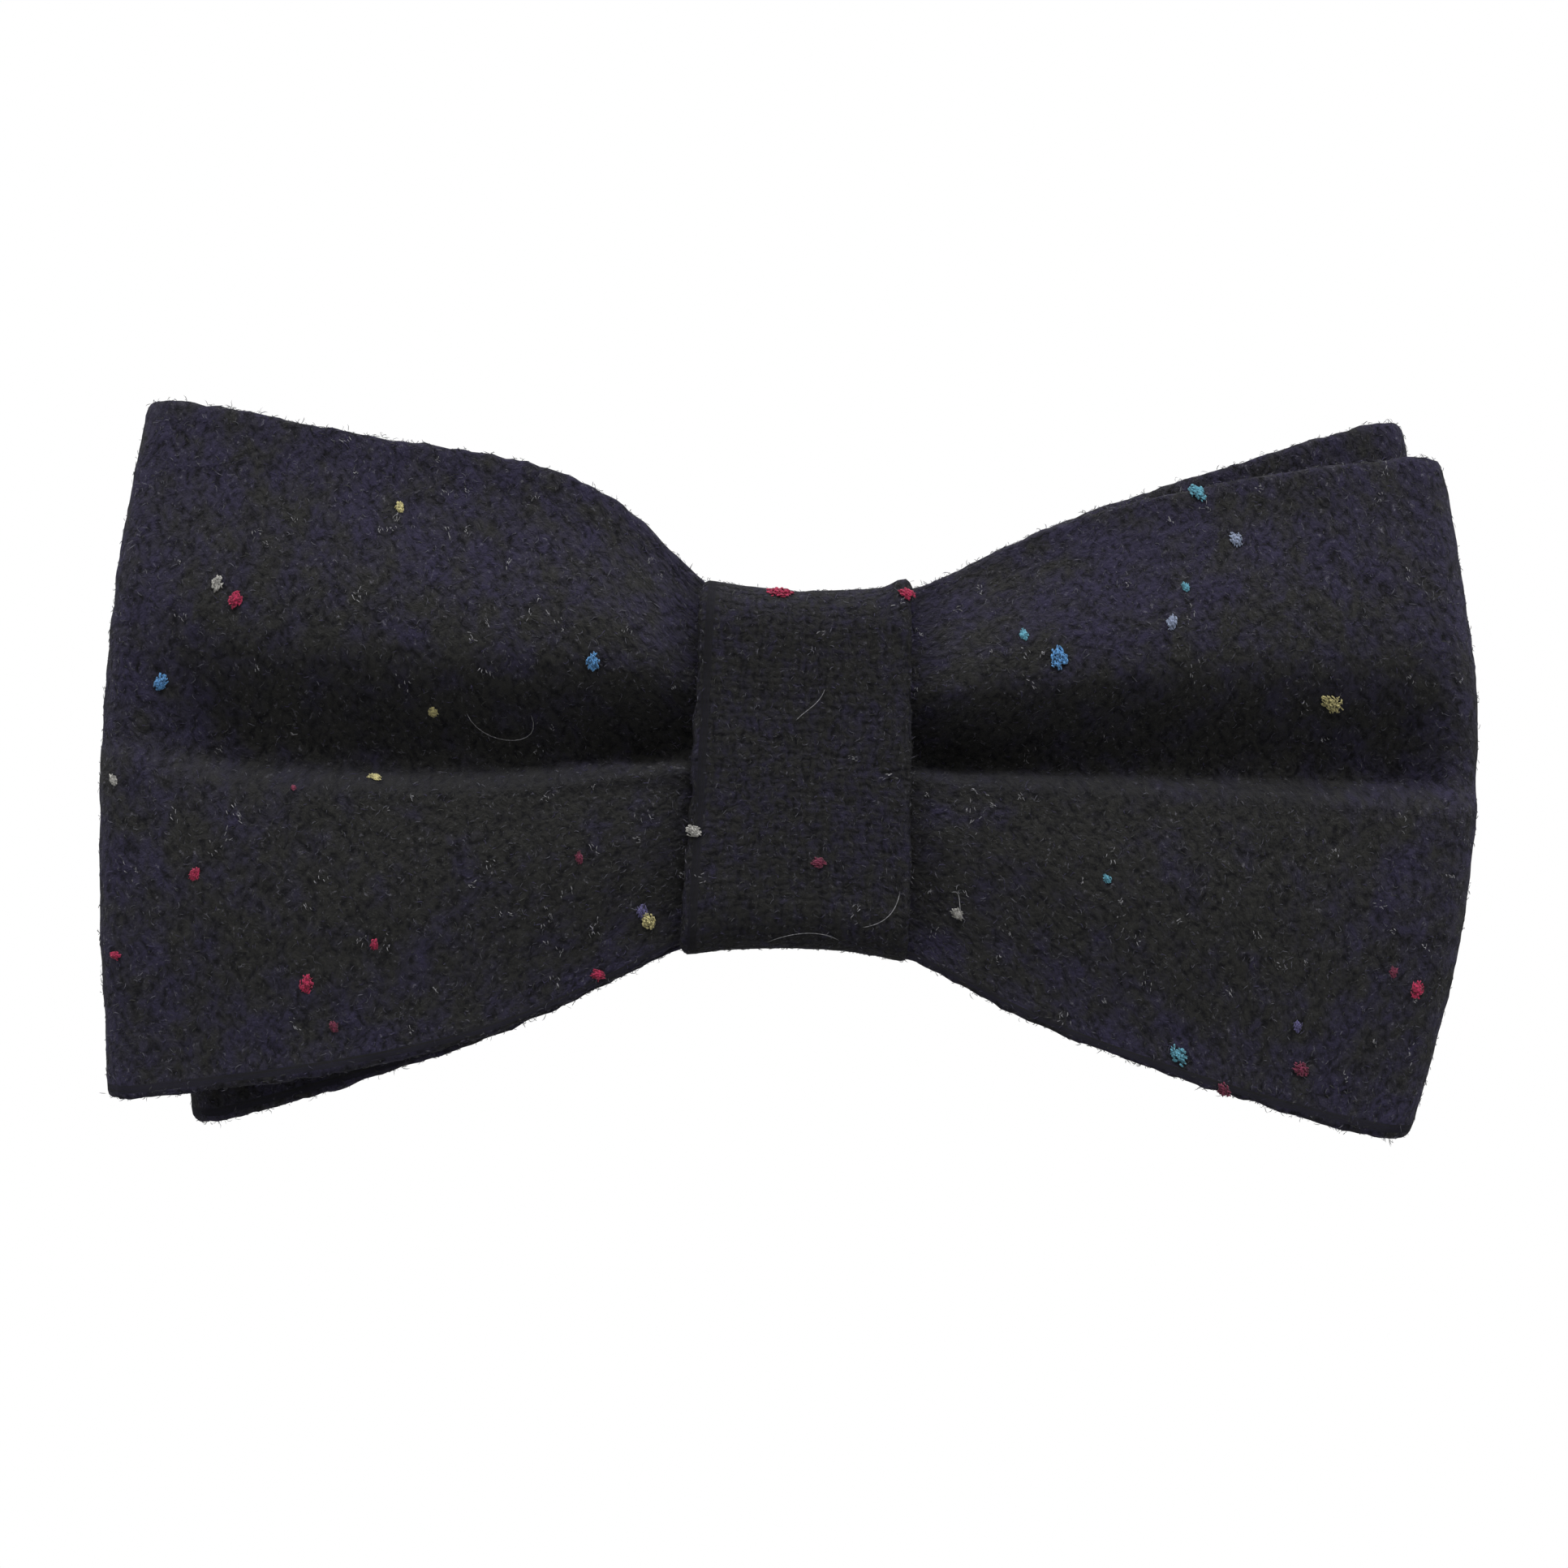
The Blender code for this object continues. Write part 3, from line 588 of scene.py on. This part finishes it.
KNOT_PLY = 2.6             # thickness of the band
KNOT_CORNER = 4.0          # radius of its corners, seen from the side
KNOT_HALF = (KNOT_HIGH[0] - KNOT_LOW[0]) / 2
KNOT_SIDE = 0.3            # how much narrower each side is than the frame's
KNOT_TAPER = 0.42          # how much narrower each side is at the top than in the middle
KNOT_HALF_HEIGHT = 15.4
KNOT_CENTRE = -0.6
KNOT_FLARE = 0.9           # how far its edges stand out above and below its middle
KNOT_ROLL = 0.6            # how far its edges lie back in front
NUB = (8.4, -19.2)         # the tuck that bulges at the band's upper right corner: x and y
NUB_SIZE, NUB_HEIGHT = 1.0, 1.0
NUB_FROM = (10, 14)        # it grows between these heights
KNOT_STEP, KNOT_END = 0.5, 0.15           # spacing of the points round the band, and its ends' inset
KNOT_FACE_POINTS, KNOT_BACK_POINTS = 44, 24


def knot_surface(along, zeta, inset):
    """The band round the middle: along is the distance round it from the middle of its back."""
    front, back = KNOT_LOW[1], KNOT_HIGH[1]
    half_z = KNOT_HALF_HEIGHT
    radius = KNOT_CORNER
    flat_z, flat_y = half_z - radius, (back - front) / 2 - radius
    middle_y = (front + back) / 2
    quarter = math.pi / 2 * radius
    lengths = [flat_z, quarter, 2 * flat_y, quarter, 2 * flat_z, quarter, 2 * flat_y, quarter, flat_z]
    starts = np.cumsum([0, *lengths])
    x = zeta * (KNOT_HALF - KNOT_SIDE)
    y, z = np.zeros_like(along), np.zeros_like(along)
    ny, nz = np.zeros_like(along), np.zeros_like(along)
    corners = [(1, 1), (-1, 1), (-1, -1), (1, -1)]
    runs = [
        ((flat_y + radius, 0), (0, 1), (1, 0)), None,
        ((flat_y, flat_z + radius), (-1, 0), (0, 1)), None,
        ((-flat_y - radius, flat_z), (0, -1), (-1, 0)), None,
        ((-flat_y, -flat_z - radius), (1, 0), (0, -1)), None,
        ((flat_y + radius, -flat_z), (0, 1), (1, 0)),
    ]
    for k in range(len(lengths)):
        here = (along >= starts[k]) & (along <= starts[k + 1])
        t = along - starts[k]
        if k % 2:
            sy, sz = corners[k // 2]
            angle = t / radius + math.pi / 2 * (k // 2)
            oy, oz = np.cos(angle), np.sin(angle)
            py, pz = sy * flat_y + radius * oy, sz * flat_z + radius * oz
        else:
            (y0, z0), (dy, dz), (oy, oz) = runs[k]
            py, pz = y0 + dy * t, z0 + dz * t
            oy, oz = oy + 0 * t, oz + 0 * t
        y, z = np.where(here, py, y), np.where(here, pz, z)
        ny, nz = np.where(here, oy, ny), np.where(here, oz, nz)
    y, z = y + middle_y - ny * inset, z - nz * inset
    out = zeta ** 2
    x = x * (1 - KNOT_TAPER * z / half_z / KNOT_HALF)
    z = z * (1 + KNOT_FLARE * out / half_z) + KNOT_CENTRE
    y = y + KNOT_ROLL * out * ease(-8, front, y)
    nub = np.exp(-((x - NUB[0]) ** 2 + (y - NUB[1]) ** 2) / (2 * NUB_SIZE ** 2))
    z = z + NUB_HEIGHT * nub * ease(*NUB_FROM, z)
    return np.stack(np.broadcast_arrays(x, y, z), axis=-1)


def knot_length():
    """The distance once round the band."""
    depth = KNOT_HIGH[1] - KNOT_LOW[1]
    return 4 * KNOT_HALF_HEIGHT + 2 * depth - 8 * KNOT_CORNER + TAU * KNOT_CORNER


def make_knot(finish):
    """The band's strip of tweed. Returns its grids of points and normals."""
    length = knot_length()
    along = np.linspace(KNOT_END, length - KNOT_END, round(length / KNOT_STEP))
    section = ring(KNOT_HALF, KNOT_PLY, KNOT_FACE_POINTS, KNOT_BACK_POINTS)
    obj, points, normals = cloth_band("knot_cloth", knot_surface, along, section, KNOT_WAVES, KNOT_BUMPS)
    give(obj, finish)
    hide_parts("knot_wrap")
    return points, normals


# Fibres

def fibre_mesh(name, paths, radii):
    """Tapered three-sided fibres along paths, an array of fibres by points by 3."""
    count, steps = paths.shape[:2]
    along = np.gradient(paths, axis=1)
    along /= np.maximum(np.linalg.norm(along, axis=-1, keepdims=True), 1e-9)
    side = np.cross(along, np.array([0.3, 0.5, 0.81]))
    side /= np.maximum(np.linalg.norm(side, axis=-1, keepdims=True), 1e-9)
    up = np.cross(along, side)
    turns = np.arange(3) * TAU / 3
    inner = slice(1, steps - 1)
    rings = paths[:, inner, None] + radii[:, None, None, None] * (
        np.cos(turns)[None, None, :, None] * side[:, inner, None]
        + np.sin(turns)[None, None, :, None] * up[:, inner, None])
    body = rings.reshape(count, -1, 3)
    points = np.concatenate([paths[:, :1], body, paths[:, -1:]], axis=1)
    per = points.shape[1]
    pattern = [(0, 1 + k, 1 + (k + 1) % 3) for k in range(3)]
    for i in range(steps - 3):
        for k in range(3):
            a, b = 1 + 3 * i + k, 1 + 3 * i + (k + 1) % 3
            pattern += [(a, a + 3, b + 3), (a, b + 3, b)]
    last = 1 + 3 * (steps - 3)
    pattern += [(per - 1, last + (k + 1) % 3, last + k) for k in range(3)]
    faces = (np.array(pattern)[None] + per * np.arange(count)[:, None, None]).reshape(-1, 3)
    return mesh_object(name, points.reshape(-1, 3), faces.tolist())


def roots(points, normals, columns, count, random):
    """Random places between a cloth grid's points, with the cloth's normal and direction there."""
    rows = random.uniform(1, points.shape[0] - 2, count)
    cols = random.choice(columns, count) + random.uniform(0, 1, count)
    i, j = rows.astype(int), cols.astype(int)
    a, b = (rows - i)[:, None], (cols - j)[:, None]
    k = (j + 1) % points.shape[1]
    place = ((1 - a) * ((1 - b) * points[i, j] + b * points[i, k])
             + a * ((1 - b) * points[i + 1, j] + b * points[i + 1, k]))
    along = points[i + 1, j] - points[i, j]
    along /= np.maximum(np.linalg.norm(along, axis=-1, keepdims=True), 1e-9)
    return place, normals[i, j], along


NAP_STEPS = 4              # points along a fibre
NAP_BEND = 1.6             # typical turn of a fibre over its length


def nap(name, grid, finish, count, length, radius, stand, seed, columns):
    """Short curly fibres over a cloth grid: stand is how far they rise from it."""
    points, normals = grid
    random = np.random.default_rng(seed)
    place, out, along = roots(points, normals, columns, count, random)
    across = np.cross(out, along)
    heading = random.uniform(0, TAU, count)
    curl = random.normal(0, NAP_BEND, count)
    size = length * random.uniform(0.5, 1.5, count)
    lift = stand * random.uniform(0.2, 1.0, count) ** 2
    t = np.linspace(0, 1, NAP_STEPS)
    swing, phase = random.normal(0, NAP_BEND / 2, count), random.uniform(0, TAU, count)
    swing = swing[:, None] * np.sin(4 * t[None] + phase[:, None])
    angle = heading[:, None] + curl[:, None] * t[None] + swing
    step = size[:, None] / NAP_STEPS
    dx = np.cumsum(np.cos(angle) * step, axis=1)
    dy = np.cumsum(np.sin(angle) * step, axis=1)
    rise = lift[:, None] * np.sin(math.pi * 0.62 * t)[None] - 0.05
    paths = (place[:, None] + dx[..., None] * along[:, None] + dy[..., None] * across[:, None]
             + rise[..., None] * out[:, None])
    obj = fibre_mesh(name, paths, radius * random.uniform(0.6, 1.3, count))
    give(obj, finish)


FACING_FRONT = -0.05       # cloth whose normal's y lies below this faces the front
CANDIDATES = 0.6           # points this much farther off than the nearest still count
FARTHEST = 2.0


def on_cloth(grids, x, z):
    """The point, normal and direction of the frontmost cloth seen at (x, z) from the front."""
    best = None
    for points, normals in grids:
        gap = np.hypot(points[..., 0] - x, points[..., 2] - z)
        gap = np.where(normals[..., 1] < FACING_FRONT, gap, np.inf)
        close = gap < gap.min() + CANDIDATES
        score = np.where(close, points[..., 1] + 4 * gap, np.inf)
        i, j = np.unravel_index(np.argmin(score), score.shape)
        if gap[i, j] < FARTHEST and (best is None or points[i, j, 1] < best[0][1]):
            best = (points[i, j], normals[i, j], points[i + 1, j] - points[i, j])
    return best


FLECK_FIBRE = 0.30         # length of a fleck's fibres, as a share of its size
FLECK_STEPS = 6
FLECK_LARGEST = 1.6        # the fibres of larger flecks are no longer than this size's
FLECK_TURN = 1.9           # a fleck's long way, from the strip's direction, in radians


def fleck(place, out, along, size, random, count=120):
    """A nep: an oval knot of short fibres felted into the cloth, about size long."""
    along = along / np.linalg.norm(along)
    across = np.cross(out, along)
    steps = FLECK_STEPS
    turn = random.normal(FLECK_TURN, 0.5)
    a = np.clip(random.normal(0, 0.42, count), -0.9, 0.9)
    b = np.clip(random.normal(0, 0.42, count), -0.9, 0.9) * np.sqrt(1 - a * a)
    long_way, wide_way = a * 0.40 * size, b * 0.30 * size
    heading = turn + random.normal(0, 0.3, count) + math.pi * random.integers(0, 2, count)
    t = np.linspace(0, 1, steps)
    angle = heading[:, None] + random.normal(0, 0.5, count)[:, None] * t[None]
    step = FLECK_FIBRE * min(size, FLECK_LARGEST) * random.uniform(0.5, 1.2, count)[:, None] / steps
    du = (long_way * math.cos(turn) - wide_way * math.sin(turn))[:, None] + np.cumsum(
        np.cos(angle) * step, axis=1) - 0.5 * step * steps * np.cos(heading)[:, None]
    dv = (long_way * math.sin(turn) + wide_way * math.cos(turn))[:, None] + np.cumsum(
        np.sin(angle) * step, axis=1) - 0.5 * step * steps * np.sin(heading)[:, None]
    dome = 0.16 * size * (1 - a * a) * (1 - b * b)
    dome = dome * random.uniform(0.2, 1.0, count)
    rise = 0.06 + dome[:, None] * np.sin(math.pi * (0.1 + 0.8 * t))[None]
    return place + du[..., None] * along + dv[..., None] * across + rise[..., None] * out


# Flecks on the front: x, z and size
FLECKS = {
    "red": (rgb(160, 38, 72), [
        (-49.0, 12.3, 1.9), (-51.8, -11.0, 1.5), (-58.5, -18.8, 1.2), (-41.6, -20.4, 2.0),
        (-35.8, -16.7, 1.2), (-16.9, -18.8, 1.6), (-2.5, 14.6, 2.9), (8.3, 14.8, 1.8), (53.3, -17.6, 1.9)]),
    "wine": (rgb(104, 38, 60), [
        (-39.3, -23.8, 1.3), (-18.4, -8.6, 1.2), (-43.0, -3.5, 0.8), (1.7, -8.5, 1.5), (51.6, -15.9, 1.2),
        (44.1, -24.7, 1.9), (37.3, -26.6, 1.7)]),
    "blue": (rgb(84, 138, 186), [(-55.0, 4.9, 1.9), (-18.3, 7.8, 2.0), (21.7, 9.8, 2.6)]),
    "teal": (rgb(84, 142, 158), [
        (33.4, 24.7, 2.2), (32.7, 16.2, 1.1), (18.5, 11.6, 1.3), (33.4, -24.0, 2.4), (26.5, -9.0, 1.1)]),
    "mist": (rgb(122, 132, 152), [(31.3, 13.2, 1.6), (36.8, 20.4, 1.8)]),
    "yellow": (rgb(178, 170, 118), [
        (-35.6, 20.7, 1.3), (-31.7, 3.2, 1.4), (-36.6, -2.0, 2.0), (-12.9, -14.1, 2.0), (45.3, 6.8, 3.0)]),
    "violet": (rgb(84, 80, 118), [(43.5, -21.0, 1.3), (-13.0, -13.0, 1.6)]),
    "cream": (rgb(158, 157, 150), [
        (-59.0, -3.3, 1.2), (-8.7, -5.9, 1.8), (13.7, -12.3, 1.5), (-50.3, 13.8, 1.7)]),
}


ELSEWHERE = (0, 9, 2)      # more flecks on the front bow, the rear bow and the knot, for six of those above
FRONT_Y = -8.0             # those only lie behind this


def make_flecks(grids, columns):
    """The flecks of every colour: those on the front in their places, and a few more all round."""
    random = np.random.default_rng(40)
    for word, (colour, places) in FLECKS.items():
        paths, sizes = [], []
        for x, z, size in places:
            found = on_cloth(grids, x, z)
            if found:
                paths.append(fleck(*found, size, random))
                sizes.append(size)
        for (points, normals), share in zip(grids, ELSEWHERE):
            extra = round(share * len(places) / 6)
            place, out, along = roots(points, normals, columns, extra, random)
            for k in range(extra):
                if place[k][1] > FRONT_Y:
                    sizes.append(random.uniform(0.8, 1.8))
                    paths.append(fleck(place[k], out[k], along[k], sizes[-1], random))
        paths = np.concatenate(paths)
        thick = np.repeat(np.minimum(sizes, 2.0), len(paths) // len(sizes))
        radii = thick * random.uniform(0.025, 0.055, len(paths))
        obj = fibre_mesh(f"flecks_{word}", paths, radii)
        give(obj, fibre_material(f"fleck_{word}", colour))


WISP_FIBRES = 5
WISP_SIZES = (0.8, 3.2)
WISP_FACING = 0.75         # wisps lie only where the cloth faces this much to the front or the back


def make_wisps(name, grid, finish, count, seed, columns):
    """Loose bundles of a few pale fibres on a cloth grid."""
    points, normals = grid
    random = np.random.default_rng(seed)
    place, out, along = roots(points, normals, columns, count, random)
    level = np.flatnonzero(np.abs(out[:, 1]) > WISP_FACING)
    paths = [fleck(place[k], out[k], along[k], random.uniform(*WISP_SIZES), random, WISP_FIBRES)
             for k in level]
    obj = fibre_mesh(name, np.concatenate(paths), random.uniform(0.02, 0.035, WISP_FIBRES * len(level)))
    give(obj, finish)


# Long loose hairs: x and z of the points that pull each one along, and its thickness
HAIRS = [
    ([(-29.0, 3.4), (-28.0, 1.0), (-25.0, 0.6), (-22.4, 1.0), (-23.4, 3.4)], 0.032),
    ([(-2.4, -15.4), (-0.2, -14.3), (2.2, -14.1), (3.8, -15.0)], 0.030),
    ([(5.6, -13.8), (8.0, -13.4), (8.6, -12.0), (8.8, -10.6)], 0.028),
    ([(-0.6, 3.6), (0.2, 4.6), (1.4, 5.0), (1.8, 6.4)], 0.026),
    ([(13.2, -10.6), (14.4, -10.0), (13.6, -12.4), (14.6, -13.0)], 0.028),
]


HAIR_STEPS = 14
HAIR_LIFT = 0.2


def make_hairs(grids, finish):
    """Long pale hairs that lie on the cloth."""
    steps = HAIR_STEPS
    t = np.linspace(0, 1, steps)[:, None]
    paths, radii = [], []
    for pulls, radius in HAIRS:
        line = [np.tile(pull, (steps, 1)) for pull in pulls]
        while len(line) > 1:
            line = [(1 - t) * a + t * b for a, b in zip(line, line[1:])]
        found = [on_cloth(grids, x, z) for x, z in line[0]]
        paths.append([(x, hit[0][1] - HAIR_LIFT, z) for (x, z), hit in zip(line[0], found)])
        radii.append(radius)
    obj = fibre_mesh("long_hairs", np.array(paths), np.array(radii))
    give(obj, finish)


# The clip

SOFT_EDGE = 0.15


def softened(node, body, metal):
    """The CAD node's own shape with small round edges."""
    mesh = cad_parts[node].data.copy()
    shape = bmesh.new()
    shape.from_mesh(mesh)
    bmesh.ops.remove_doubles(shape, verts=shape.verts, dist=1e-6)
    bmesh.ops.dissolve_limit(shape, angle_limit=math.radians(1), verts=shape.verts, edges=shape.edges)
    shape.to_mesh(mesh)
    shape.free()
    obj = bpy.data.objects.new(f"{node}_finished", mesh)
    bpy.context.collection.objects.link(obj)
    bevel = obj.modifiers.new("soft_edges", "BEVEL")
    bevel.width = SOFT_EDGE * MM
    bevel.segments = 2
    bevel.limit_method = "ANGLE"
    bevel.angle_limit = math.radians(35)
    mesh.shade_smooth()
    mesh.set_sharp_from_angle(angle=math.radians(40))
    give(obj, metal, body)
    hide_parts(node)


# The spring. Its sizes repeat the frame's design
SPRING_RADIUS, SPRING_WIRE, SPRING_TURNS, SPRING_HALF_WIDTH = 1.6, 0.3, 3.5, 2.0
PIVOT_X, PIVOT_Y = -11.0, 4.0
PLATE_LEG_END = (-19.5, SPRING_WIRE + 0.35, -SPRING_HALF_WIDTH)
LEVER_LEG_END = (-18.5, 6.85, SPRING_HALF_WIDTH)
SPRING_POINTS = 32         # points in a turn of the coil
SPRING_SPLIT = 3.28        # turns of the coil that stay with the plate
SPLIT_GAP = 0.02           # turns between them and the rest


def wire(name, path, radius, sides=12):
    """A round wire along a path of points."""
    path = np.array(path)
    along = np.gradient(path, axis=0)
    along /= np.linalg.norm(along, axis=1, keepdims=True)
    side = np.array([0.0, 0.0, 1.0])
    turns = np.arange(sides)[:, None] * TAU / sides
    rings = []
    for here, way in zip(path, along):
        side = side - way * side.dot(way)
        side /= np.linalg.norm(side)
        rings.append(here + radius * (np.cos(turns) * side + np.sin(turns) * np.cross(way, side)))
    made = mesh_object(name, np.concatenate(rings), tube_faces(len(path), sides))
    turn_out(made)
    return made


def coil(first, last):
    """Points of the spring's coil between two numbers of turns."""
    turns = np.linspace(first, last, round((last - first) * SPRING_POINTS) + 1)
    angle = TAU * turns - math.pi / 2
    z = SPRING_HALF_WIDTH * (2 * turns / SPRING_TURNS - 1)
    x, y = PIVOT_X + SPRING_RADIUS * np.cos(angle), PIVOT_Y + SPRING_RADIUS * np.sin(angle)
    return np.stack([x, y, z], axis=1)


def make_spring(metal):
    """The coil and its leg on the plate, and the end of the coil that turns with the lever."""
    fixed = np.concatenate([[PLATE_LEG_END], coil(0, SPRING_SPLIT)])
    moving = np.concatenate([coil(SPRING_SPLIT + SPLIT_GAP, SPRING_TURNS), [LEVER_LEG_END]])
    for name, path, body in (("spring_coil", fixed, "bow"), ("spring_lever_leg", moving, "clip_lever")):
        obj = wire(name, path, SPRING_WIRE)
        give(obj, metal, body)
        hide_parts("clip_spring")


# The stage and the camera

WHITE = (1, 1, 1, 1)
SKY_LOW, SKY_HIGH = 0.27, 1.38       # light from straight below and from straight above
SIDE_LIGHT = 1.5                     # more light from the left and the right
FLOOR_DROP = 0.30                    # how far the floor lies under the tie, in metres
SUN_FROM = (0.05, -0.66, 1.0)
SUN_STRENGTH = 3.3
SUN_ANGLE = math.radians(26)
SUN_COLOUR = (0.95, 0.94, 1.0)
FLOOR_HALF = 6000


def make_world():
    """Soft light that grows towards the top, in front of a plain white background."""
    world = bpy.data.worlds.new("studio")
    world.use_nodes = True
    tree = world.node_tree
    background = tree.nodes["Background"]
    place = tree.nodes.new("ShaderNodeTexCoord")
    split = tree.nodes.new("ShaderNodeSeparateXYZ")
    level = tree.nodes.new("ShaderNodeMapRange")
    level.interpolation_type = "SMOOTHSTEP"
    level.inputs["From Min"].default_value = -0.15
    level.inputs["From Max"].default_value = 1.0
    level.inputs["To Min"].default_value = SKY_LOW
    level.inputs["To Max"].default_value = SKY_HIGH
    across = tree.nodes.new("ShaderNodeMath")
    across.operation = "POWER"
    across.inputs[1].default_value = 4
    sum_up = tree.nodes.new("ShaderNodeMath")
    sum_up.operation = "MULTIPLY_ADD"
    sum_up.inputs[1].default_value = SIDE_LIGHT
    seen = tree.nodes.new("ShaderNodeLightPath")
    strength = tree.nodes.new("ShaderNodeMath")
    strength.operation = "MAXIMUM"
    tree.links.new(place.outputs["Generated"], split.inputs[0])
    tree.links.new(split.outputs["Z"], level.inputs["Value"])
    tree.links.new(split.outputs["X"], across.inputs[0])
    tree.links.new(across.outputs[0], sum_up.inputs[0])
    tree.links.new(level.outputs[0], sum_up.inputs[2])
    tree.links.new(sum_up.outputs[0], strength.inputs[0])
    tree.links.new(seen.outputs["Is Camera Ray"], strength.inputs[1])
    tree.links.new(strength.outputs[0], background.inputs["Strength"])
    background.inputs["Color"].default_value = WHITE
    bpy.context.scene.world = world


def floor_finish():
    """A white floor that throws little light back."""
    n = Nodes("floor_white")
    n.set(Base_Color=(0.25, 0.25, 0.25, 1), Roughness=0.9)
    glow = n.add("Emission", {"Color": WHITE, "Strength": 1.0})
    seen = n.add("LightPath")
    mixed = n.add("MixShader", {0: seen, 1: n.shader.outputs[0], 2: glow})
    output = n.tree.nodes["Material Output"]
    n.tree.links.new(mixed, output.inputs["Surface"])
    return n.material


def make_stage():
    low, wide = (CAD_BOX[0][2] - FLOOR_DROP) / MM, FLOOR_HALF
    corners = [(-wide, -wide, low), (wide, -wide, low), (wide, wide, low), (-wide, wide, low)]
    floor = mesh_object("floor", corners, [(0, 1, 2, 3)])
    floor.data.materials.append(floor_finish())
    make_world()
    light = bpy.data.lights.new("key", "SUN")
    light.energy = SUN_STRENGTH
    light.color = SUN_COLOUR
    light.angle = SUN_ANGLE
    sun = bpy.data.objects.new("key", light)
    sun.rotation_euler = (-Vector(SUN_FROM)).to_track_quat("-Z", "Y").to_euler()
    bpy.context.collection.objects.link(sun)
    bpy.context.scene.view_settings.view_transform = "Standard"


CAMERA_LENS = 85.0
VIEW_WIDTH = 0.1362        # width of the view at the tie
CAMERA_ROLL = math.radians(-2.0)
VIEW_CENTRE = (-0.0014, -0.015, -0.0018)


def make_camera():
    camera = bpy.data.cameras.new("camera")
    camera.lens = CAMERA_LENS
    camera.clip_start = 0.01
    distance = VIEW_WIDTH * CAMERA_LENS / camera.sensor_width
    made = bpy.data.objects.new("camera", camera)
    place = Vector(VIEW_CENTRE) - Vector((0, distance, 0))
    turn = Matrix.Rotation(CAMERA_ROLL, 4, "Y") @ Matrix.Rotation(math.pi / 2, 4, "X")
    made.matrix_world = Matrix.Translation(place) @ turn
    bpy.context.collection.objects.link(made)
    bpy.context.scene.camera = made


def outer_columns(face_points, back_points):
    """The columns of a strip's ring that lie on its outer face and round its edges."""
    count = face_points + back_points + 2 * EDGE_POINTS
    return np.array([*range(face_points + EDGE_POINTS - 1), *range(count - EDGE_POINTS, count - 1)])


def main():
    make_camera()
    make_stage()
    # The wings' tweed carries painted shade along the lower pleat's lip; the knot's carries none
    wing_tweed = tweed("tweed_wings", grain_turn=math.radians(45), weave_share=0.10, charcoal_share=0.0,
                       clump_scale=0.34, low_share=0.17, painted_lip_shade_share=0.45, tone=0.94)
    knot_tweed = tweed("tweed_knot", grain_turn=0.0, weave_share=0.28, charcoal_share=0.10,
                       clump_scale=0.8, low_share=0.0, painted_lip_shade_share=0.0, tone=0.67)
    front = make_bow("front", wing_tweed)
    rear = make_bow("rear", wing_tweed)
    stiffener = canvas("canvas")
    make_interlining("front", stiffener)
    make_interlining("rear", stiffener)
    knot_canvas = woven("canvas_knot", rgb(52, 52, 54), pitch=CANVAS_PITCH, twist=0.0)
    thread = woven("thread", rgb(46, 44, 60), pitch=0.5, twist=0.7)
    kept = {"knot_interlining": knot_canvas, "waist_binding": thread, "knot_seam_thread": thread,
            "clip_stitch_left": thread, "clip_stitch_right": thread}
    for node, material in kept.items():
        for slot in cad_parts[node].material_slots:
            slot.material = material
    knot = make_knot(knot_tweed)
    wings_outer = outer_columns(FACE_POINTS, BACK_POINTS)
    knot_outer = outer_columns(KNOT_FACE_POINTS, KNOT_BACK_POINTS)
    wools = (("navy", rgb(50, 46, 72)), ("charcoal", rgb(48, 49, 45)), ("grey", rgb(82, 82, 90)))
    pale = fibre_material("wool_pale", rgb(140, 140, 142))
    on_bow = {"length": 0.8, "radius": 0.028, "stand": 0.26, "columns": wings_outer}
    on_knot = {"length": 0.7, "radius": 0.026, "stand": 0.20, "columns": knot_outer}
    for k, (word, colour) in enumerate(wools):
        wool = fibre_material(f"wool_{word}", colour)
        nap(f"front_bow_nap_{word}", front, wool, count=9000, seed=10 + k, **on_bow)
        nap(f"rear_bow_nap_{word}", rear, wool, count=6000, seed=20 + k, **on_bow)
        nap(f"knot_nap_{word}", knot, wool, count=1600, seed=30 + k, **on_knot)
    make_wisps("front_bow_wisps", front, pale, count=380, seed=51, columns=wings_outer)
    make_wisps("rear_bow_wisps", rear, pale, count=200, seed=52, columns=wings_outer)
    make_wisps("knot_wisps", knot, pale, count=34, seed=53, columns=knot_outer)
    make_flecks((front, rear, knot), knot_outer)
    make_hairs((front, rear, knot), pale)
    metal = steel("nickel")
    softened("clip_base_jaw", "bow", metal)
    softened("clip_lever_jaw", "clip_lever", metal)
    softened("clip_hinge_pin", "bow", metal)
    make_spring(metal)


main()
